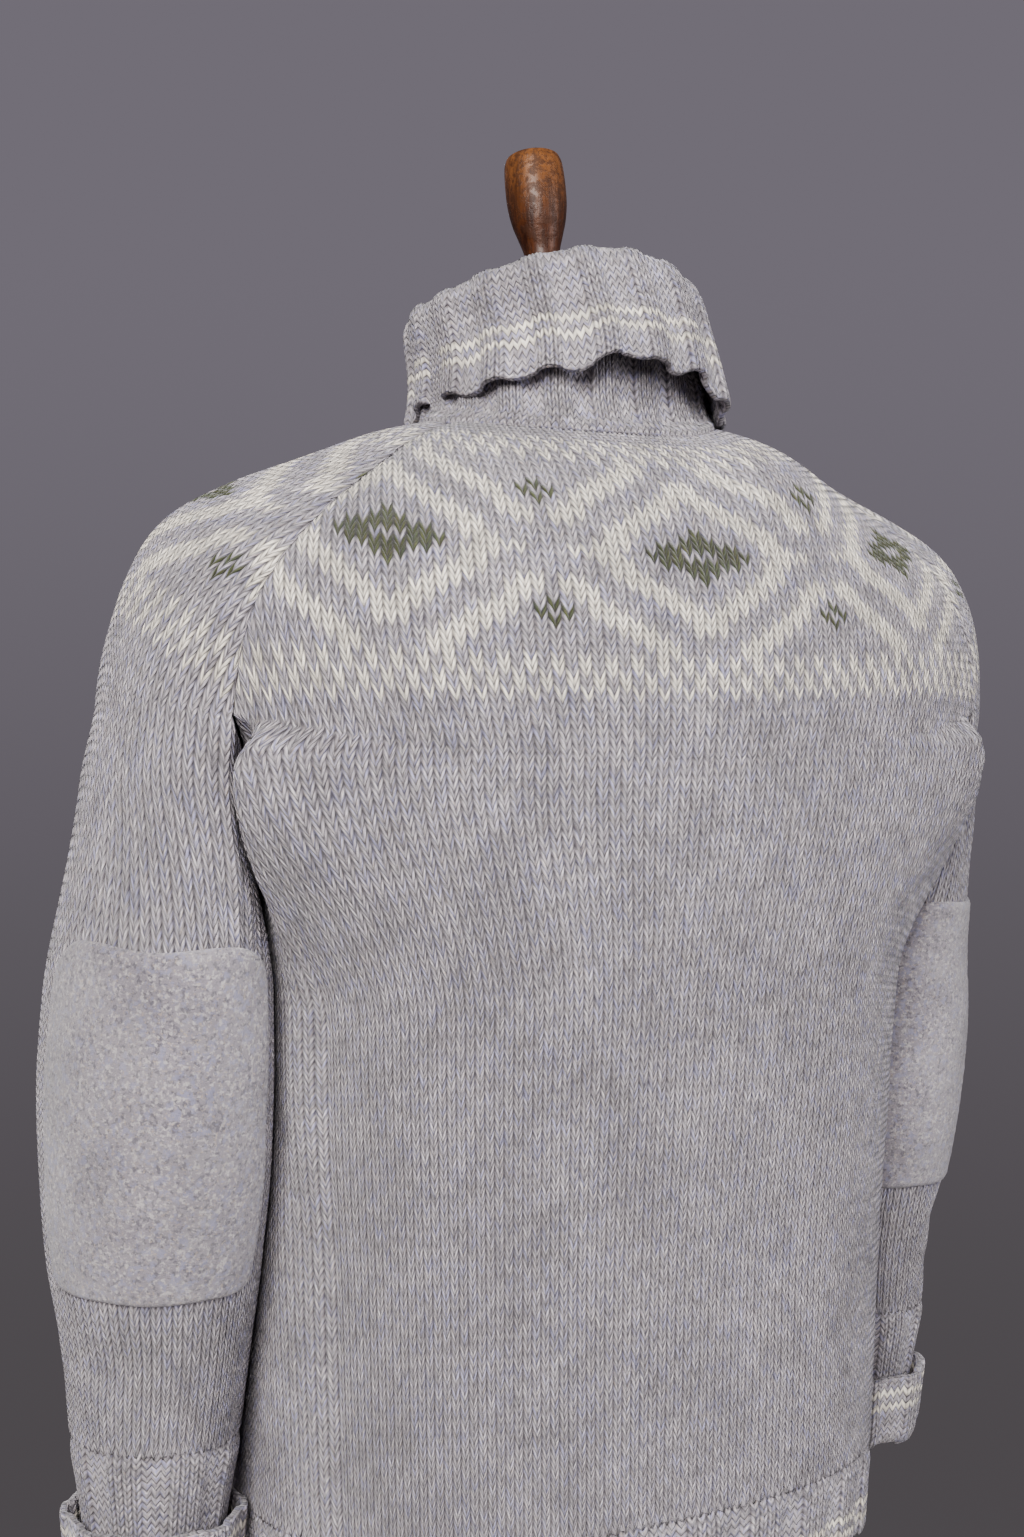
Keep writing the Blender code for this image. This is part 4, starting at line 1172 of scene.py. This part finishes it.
def collar_shape(turn, down, outward):
    # The free edge ripples, and the top of the fold is a little uneven
    flap = smooth_step((down - 0.72) / 0.28)
    fold = np.exp(-((down - 0.53) / 0.10) ** 2)
    angle = 2 * pi * turn
    ripple = 0.55 * np.sin(9 * angle + 1.1 * np.sin(2 * angle)) + 0.45 * np.sin(5 * angle + 0.7)
    ribs = np.cos(2 * pi * (turn * COLLAR_WALES - RIB_KNIT / 2) / RIB_REPEAT)
    lift = flap * (0.0034 * ripple - 0.0014 * ribs) + fold * 0.0007 * np.sin(4 * angle + 0.4)
    lift -= flap * 0.020 * smooth_step(-np.sin(angle + 0.3))
    ridge = np.exp(-((down - 0.035) / 0.016) ** 2) * (0.0020 + 0.0009 * np.cos(2 * pi * turn * COLLAR_WALES))
    sway = flap * 0.0022 * np.sin(7 * angle + 0.5)
    moved = outward * (ridge - sway)[..., None]
    moved[..., 0] -= (0.0095 + 0.0065 * np.sin(angle)) * smooth_step((down - 0.50) / 0.45)
    moved[..., 2] += lift
    return moved


COLLAR_WALES = 18 * RIB_REPEAT
collar_cloth = make_cloth(collar_grid(), closed=True, flip=True)
collar_piece = knit_rib_tube("knit_collar", collar_cloth, COLLAR_WALES, 0.0040, 0.0017, (4, 6), RIBBING, True,
                             collar_shape, 0.8)
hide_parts("collar")

# %% [markdown]
# ## The hem and the cuffs
# The hem's ribbing hangs straight on from the two panels. A cuff goes down over the wrist, turns out and
# comes back up, so its free edge with the two stripes looks upwards.

# %% Knit the hem
def hem_grid():
    rows = []
    for height in np.linspace(HEM_RIB_TOP + 0.006, HEM_BOTTOM, 6):
        back = whole_row(half_row(1, height))
        front = whole_row(half_row(-1, height))[::-1]
        rows.append(np.concatenate([back, front[1:-1]]))
    return np.array(rows)


HEM_WALES = 27 * RIB_REPEAT
raw_hem = make_cloth(hem_grid(), closed=True)
HEM_TUCK = np.array([0.0012, -0.0003, 0.0, 0.0, 0.0, 0.0])     # the first rings lie behind the panels' edge
hem_depth = (RIB_WALL / 2 + HEM_TUCK)[:, None, None]
hem_cloth = Cloth(raw_hem.points - raw_hem.outward * hem_depth, raw_hem.outward, True)
hem_piece = knit_rib_tube("knit_hem", hem_cloth, HEM_WALES, 0.0042, 0.0013, (2, 4), RIBBING, False)
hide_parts("hem_rib")


# %% Knit the cuffs
# Heights down a cuff and up again, and how far its middle layer lies from the sleeve's surface
CUFF_PATH = [(SLEEVE_END + 0.008, -0.0012), (SLEEVE_END + 0.001, 0.0002), (-0.402, 0.0008), (-0.416, 0.0004),
             (CUFF_TOP, 0.0), (-0.456, 0.0), (-0.474, 0.0004), (CUFF_BOTTOM, 0.0045), (-0.475, 0.0088),
             (-0.456, 0.0100), (CUFF_TOP, 0.0105)]
CUFF_COLUMNS = 64
CUFF_WALES = 8 * RIB_REPEAT


def cuff_grid(forward):
    turns = SLEEVE_TURN - np.arange(CUFF_COLUMNS) * 2 * pi / CUFF_COLUMNS
    rows = []
    for height, outward in CUFF_PATH:
        tube = sleeve_tube(height, turns, forward)
        away = tube - sleeve_centre(height, forward)
        rows.append(tube + away / np.linalg.norm(away, axis=1)[:, None] * (outward - RIB_WALL / 2))
    return np.array(rows)


def knit_cuff(side):
    grid = cuff_grid(0.0 if side == "left" else RIGHT_FORWARD)
    right = side == "right"
    cloth = make_cloth(mirrored(grid) if right else grid, closed=True, flip=right)
    piece = knit_rib_tube("knit_cuff_" + side, cloth, CUFF_WALES, 0.0042, 0.0012, (2, 4), RIBBING, right)
    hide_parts("cuff_" + side)


for side in ("left", "right"):
    knit_cuff(side)

# %% [markdown]
# ## Elbow patches
# The patches are felted wool: washed hot, so that the stitches close up into a dense, fuzzy cloth. A patch
# lies on the sleeve, so its points are the sleeve's own, moved out, and its edge rolls down to the sleeve
# with small hidden stitches. Its surface is uneven at the size of a fingertip.

# %% Felted wool
def felted_wool(name):
    finish, n, shader, place = new_finish(name)
    fibre = n.add("VectorMath", operation="SCALE")
    n.wire(place, fibre.inputs[0])
    fibre.inputs["Scale"].default_value = 470.0
    yarn = spun_yarn(n, place, fibre.outputs[0], 1.1, (0.272, 0.246, 0.274), (0.50, 0.465, 0.465),
                     (0.12, 0.112, 0.135), (0.27, 0.262, 0.36), (0.41, 0.34, 0.29))
    paler_mix = n.ramp(n.noise(place, 55.0, 4.0, 0.7), 0.40, 0.70)
    colour = n.mixed(n.times(paler_mix, 0.22), yarn.outputs["Color"], (0.46, 0.43, 0.43))
    n.wire(colour, shader.inputs["Base Color"])
    clumps = n.noise(place, 620.0, 3.0, 0.7)
    n.raise_surface(shader, n.plus(clumps, n.times(yarn.outputs["Fuzz"], 0.5)), 0.0009)
    set_values(shader, Roughness=0.97, Specular_IOR_Level=0.15, Sheen_Weight=0.42, Sheen_Roughness=0.6)
    return finish


FELT = felted_wool("felted wool")

# %% Sew on the patches
PATCH_COLUMNS = (-3.4, 18.2)     # control columns and rows of the sleeve's tube under a patch
PATCH_ROWS = (10.75, 30.45)
PATCH_LIFT = 0.0026
PATCH_CELLS = 112
PATCH_SQUARENESS = 9.0     # power of the patch's rounded outline


def patch_points(tube, base, lift, ragged):
    s, t = np.meshgrid(np.linspace(-1.0, 1.0, PATCH_CELLS + 1), np.linspace(-1.0, 1.0, PATCH_CELLS + 1))
    inner = np.maximum(np.maximum(np.abs(s), np.abs(t)), 1e-6)
    oval = (np.abs(s) ** PATCH_SQUARENESS + np.abs(t) ** PATCH_SQUARENESS) ** (1.0 / PATCH_SQUARENESS)
    reach = np.maximum(oval / inner, 1.0)
    wander = 1.0 + 0.008 * np.sin(6 * s + 2 * t) + 0.007 * np.sin(9 * t - 4 * s + 1.0)
    scale = 1.0 + (wander / reach - 1.0) * inner ** 3
    columns = np.interp(s * scale, [-1.1, 1.1], [PATCH_COLUMNS[0] - 1.4, PATCH_COLUMNS[1] + 1.4])
    rows = np.interp(t * scale, [-1.1, 1.1], [PATCH_ROWS[0] - 0.98, PATCH_ROWS[1] + 0.98])
    points, outward = read_cloth(tube, rows, columns)
    rim = np.clip((1.0 - inner) / 0.05, 0.0, 1.0)
    rise = lift * np.sqrt(1.0 - (1.0 - rim) ** 2)
    bumps = (np.sin(37 * s + 3 * np.sin(9 * t)) * np.sin(41 * t + 3 * np.sin(7 * s))
             + 0.6 * np.sin(83 * s + 3 * np.sin(31 * t)) * np.sin(71 * t + 3 * np.sin(23 * s)))
    return points + outward * (base + rise + ragged * bumps * rim)[..., None]


def sew_patch(side):
    tube = SLEEVE_CLOTHS[side][1]
    upper = patch_points(tube, 0.0008, PATCH_LIFT, 0.00022).reshape(-1, 3)
    lower = patch_points(tube, 0.0004, 0.0003, 0.0).reshape(-1, 3)
    width = PATCH_CELLS + 1
    faces = grid_faces(width, width, False)
    count = width * width
    under = [tuple(corner + count for corner in reversed(face)) for face in faces]
    edge = border_loops(faces)[0]
    wall = []
    for near, far in zip(edge, edge[1:] + edge[:1]):
        wall.append((far, near, near + count, far + count))
    everything = faces + under + wall
    plain = [(((0.25, 0.5),) * 4, YARN_MARKS[0])] * len(everything)
    points = np.concatenate([upper, lower])
    piece = add_piece("felt_patch_" + side, points, everything, plain, side == "right")
    piece.data.materials.append(FELT)
    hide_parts("elbow_patch_" + side)
    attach(piece, "root")


for side in ("left", "right"):
    sew_patch(side)

# %% [markdown]
# ## The form and its stand
# The form is covered in plain linen, woven one over one. Its cap and the turned knob are varnished hardwood:
# a reddish brown with streaks of grain along the turning axis, paler towards the top, under a clear coat. The
# knob is turned again with a finer profile, because it is seen against the backdrop.

# %% Linen
LINEN_THREADS = 900.0      # pairs of threads in a metre


def linen_cover(name):
    finish, n, shader, place = new_finish(name)
    x, y, z = n.parted(place)
    warp = n.maths("SINE", n.times(n.plus(x, y), 2 * pi * LINEN_THREADS))
    weft = n.maths("SINE", n.times(z, 2 * pi * LINEN_THREADS))
    slub = n.ramp(n.noise(place, 140.0, 3.0), 0.35, 0.70)
    n.wire(n.mixed(slub, (0.50, 0.44, 0.34), (0.64, 0.58, 0.47)), shader.inputs["Base Color"])
    n.raise_surface(shader, n.times(warp, weft), 0.0003)
    set_values(shader, Roughness=0.9, Sheen_Weight=0.2)
    return finish


# %% Varnished wood
def varnished_wood(name):
    finish, n, shader, place = new_finish(name)
    stretch = n.add("Mapping")
    stretch.inputs["Scale"].default_value = (1.0, 1.0, 0.10)
    n.wire(place, stretch.inputs["Vector"])
    grain = n.noise(stretch.outputs[0], 300.0, 5.0, 0.65)
    pores = n.ramp(n.noise(stretch.outputs[0], 900.0, 3.0), 0.60, 0.72)
    colour = n.mixed(n.ramp(grain, 0.32, 0.68), (0.032, 0.010, 0.005), (0.105, 0.036, 0.014))
    _, _, high = n.parted(place)
    # The colour is mixed paler towards the top of the knob
    paler_mix = n.ramp(n.plus(high, n.times(grain, 0.035)), 1.575, 1.630)
    colour = n.mixed(n.times(paler_mix, 0.85), colour, (0.25, 0.105, 0.036))
    mottle = n.ramp(n.noise(place, 210.0, 4.0, 0.7), 0.44, 0.62)
    colour = n.mixed(n.times(mottle, 0.72), colour, (0.052, 0.019, 0.008))
    colour = n.mixed(n.times(pores, 0.6), colour, (0.035, 0.012, 0.006))
    n.wire(colour, shader.inputs["Base Color"])
    n.wire(n.ramp(mottle, 0.0, 1.0, 0.40, 0.62), shader.inputs["Roughness"])
    n.raise_surface(shader, n.plus(grain, mottle), 0.0004, 0.35)
    set_values(shader, Specular_IOR_Level=0.36, Coat_Weight=0.08, Coat_Roughness=0.26)
    return finish


# %% Cast iron
def cast_iron(name):
    finish, n, shader, place = new_finish(name)
    patches = n.ramp(n.noise(place, 18.0, 4.0), 0.35, 0.7)
    colour = n.mixed(patches, (0.030, 0.030, 0.032), (0.060, 0.058, 0.056))
    n.wire(colour, shader.inputs["Base Color"])
    n.wire(n.ramp(patches, 0.0, 1.0, 0.42, 0.60), shader.inputs["Roughness"])
    n.raise_surface(shader, n.noise(place, 420.0, 3.0), 0.0004, 0.4)
    set_values(shader, Metallic=0.55)
    return finish


LINEN = linen_cover("linen cover")
WOOD = varnished_wood("varnished wood")
IRON = cast_iron("dark cast iron")
for node, finish in (("form_torso", LINEN), ("neck_cap", WOOD), ("pole", IRON), ("foot", IRON)):
    cad_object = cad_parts[node]
    for slot in cad_object.material_slots:
        slot.material = finish
    print(node, "is finished in", finish.name)

# %% Turn the knob
NECK_TOP = (0.0, -0.006, 0.204)        # middle of the form's neck, and its tilt
NECK_TILT = radians(11.3)
# Radius and height along the knob's axis
KNOB_PROFILE = [(0.0000, 0.0133), (0.0220, 0.0133), (0.0235, 0.0160), (0.0230, 0.0220), (0.0150, 0.0270),
                (0.0115, 0.0380), (0.0102, 0.0520), (0.0106, 0.0620), (0.0134, 0.0720), (0.0160, 0.0810),
                (0.0176, 0.0910), (0.0180, 0.1020), (0.0176, 0.1130), (0.0166, 0.1188), (0.0135, 0.1222),
                (0.0000, 0.1236)]


def turned_knob(name, profile, sides=72, steps=6):
    # The profile is read along a smooth curve, and spun round the tilted axis
    profile = np.array(profile)
    places = np.linspace(0.0, len(profile) - 1.0, (len(profile) - 1) * steps + 1)
    index = np.clip(np.floor(places).astype(int), 0, len(profile) - 2)
    weights = pull_weights(places - index)
    curve = sum(weights[step][:, None] * profile[np.clip(index + step - 1, 0, len(profile) - 1)]
                for step in range(4))
    curve = curve[1:-1]
    turns = 2 * pi * np.arange(sides) / sides
    radius = np.maximum(curve[:, 0], 0.0002)
    points = np.stack([radius[:, None] * np.cos(turns), radius[:, None] * np.sin(turns),
                       np.broadcast_to(curve[:, 1][:, None], (len(curve), sides))], axis=-1).reshape(-1, 3)
    tilted = points.copy()
    tilted[:, 1] = points[:, 1] * cos(NECK_TILT) - points[:, 2] * sin(NECK_TILT)
    tilted[:, 2] = points[:, 1] * sin(NECK_TILT) + points[:, 2] * cos(NECK_TILT)
    faces = grid_faces(len(curve), sides, True)
    foot = tuple(reversed(range(sides)))
    top = tuple(range((len(curve) - 1) * sides, len(curve) * sides))
    plain = [(((0.0, 0.0),) * len(face), YARN_MARKS[0]) for face in faces + [foot, top]]
    piece = add_piece(name, tilted + np.array(NECK_TOP), faces + [foot, top], plain, False)
    piece.data.materials.append(WOOD)
    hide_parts("finial")
    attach(piece, "root")


turned_knob("turned_knob", KNOB_PROFILE)

# %% [markdown]
# ## Floor, light and camera
# A pale round floor, three soft lights and a camera at the photographed angle. The backdrop is the world's
# own colour, a little lighter upwards.

# %% Set the stage
FLOOR_RADIUS = 1.6
FLOOR_SIDES = 96
FOCAL = 2100.0             # focal length, height of the picture, and how far the camera aims beside and
PICTURE_HEIGHT = 1537.0    # below the level of its own place, in the photograph's pixels
AIM_ASIDE = 45.0
AIM_DOWN = 68.5
SENSOR = 36.0


def add_floor():
    turns = 2 * pi * np.arange(FLOOR_SIDES) / FLOOR_SIDES
    rim = [(FLOOR_RADIUS * cos(turn), FLOOR_RADIUS * sin(turn), 0.0) for turn in turns]
    mesh = bpy.data.meshes.new("floor")
    mesh.from_pydata(rim, [], [tuple(range(FLOOR_SIDES))])
    floor = bpy.data.objects.new("floor", mesh)
    bpy.context.scene.collection.objects.link(floor)
    plaster = bpy.data.materials.new("pale floor")
    plaster.use_nodes = True
    shader = plaster.node_tree.nodes["Principled BSDF"]
    shader.inputs["Base Color"].default_value = (0.55, 0.54, 0.53, 1.0)
    shader.inputs["Roughness"].default_value = 0.9
    mesh.materials.append(plaster)


def add_light(name, place, target, size, power, colour, reflected=True):
    data = bpy.data.lights.new(name, "AREA")
    data.shape = "RECTANGLE"
    data.size = size[0]
    data.size_y = size[1]
    data.energy = power
    data.color = colour
    light = bpy.data.objects.new(name, data)
    bpy.context.scene.collection.objects.link(light)
    light.visible_glossy = reflected
    light.location = place
    light.rotation_euler = (Vector(target) - Vector(place)).to_track_quat("-Z", "Y").to_euler()


def add_camera():
    # 30 degrees to the wearer's left of straight behind, a little above the shoulders
    out = np.array((0.5, 0.8660254, 0.0))
    right = np.array((-0.8660254, 0.5, 0.0))
    turn = np.arctan(AIM_ASIDE / FOCAL)
    dip = np.arctan(AIM_DOWN / FOCAL)
    ahead = -out * cos(turn) - right * sin(turn)
    ahead = ahead * cos(dip) - np.array((0.0, 0.0, sin(dip)))
    data = bpy.data.cameras.new("camera")
    data.sensor_fit = "VERTICAL"
    data.sensor_height = SENSOR
    data.lens = FOCAL * SENSOR / PICTURE_HEIGHT
    camera = bpy.data.objects.new("camera", data)
    bpy.context.scene.collection.objects.link(camera)
    camera.location = (0.62, 1.0739, 1.28)
    camera.rotation_euler = Vector(ahead).to_track_quat("-Z", "Y").to_euler()
    bpy.context.scene.camera = camera


add_floor()
add_light("key", (1.9, 2.2, 2.7), (0.0, 0.0, 1.15), (1.6, 1.6), 142.0, (1.0, 0.985, 0.965))
add_light("fill", (-1.7, 2.3, 1.9), (0.0, 0.0, 1.1), (1.8, 2.2), 46.0, (0.97, 0.98, 1.0))
add_light("front", (-0.9, -2.8, 2.1), (0.0, 0.0, 1.15), (1.8, 1.8), 78.0, (1.0, 0.99, 0.98), reflected=False)
add_camera()
world = bpy.data.worlds.new("studio")
world.use_nodes = True
backdrop = Nodes(world.node_tree)
_, _, heading = backdrop.parted(backdrop.add("TexCoord").outputs["Generated"])
lighter = backdrop.ramp(heading, -0.36, 0.22)
tone = backdrop.mixed(lighter, (0.092, 0.084, 0.090), (0.172, 0.158, 0.184))
backdrop.wire(tone, world.node_tree.nodes["Background"].inputs["Color"])
bpy.context.scene.world = world
bpy.context.scene.view_settings.look = "AgX - Medium High Contrast"
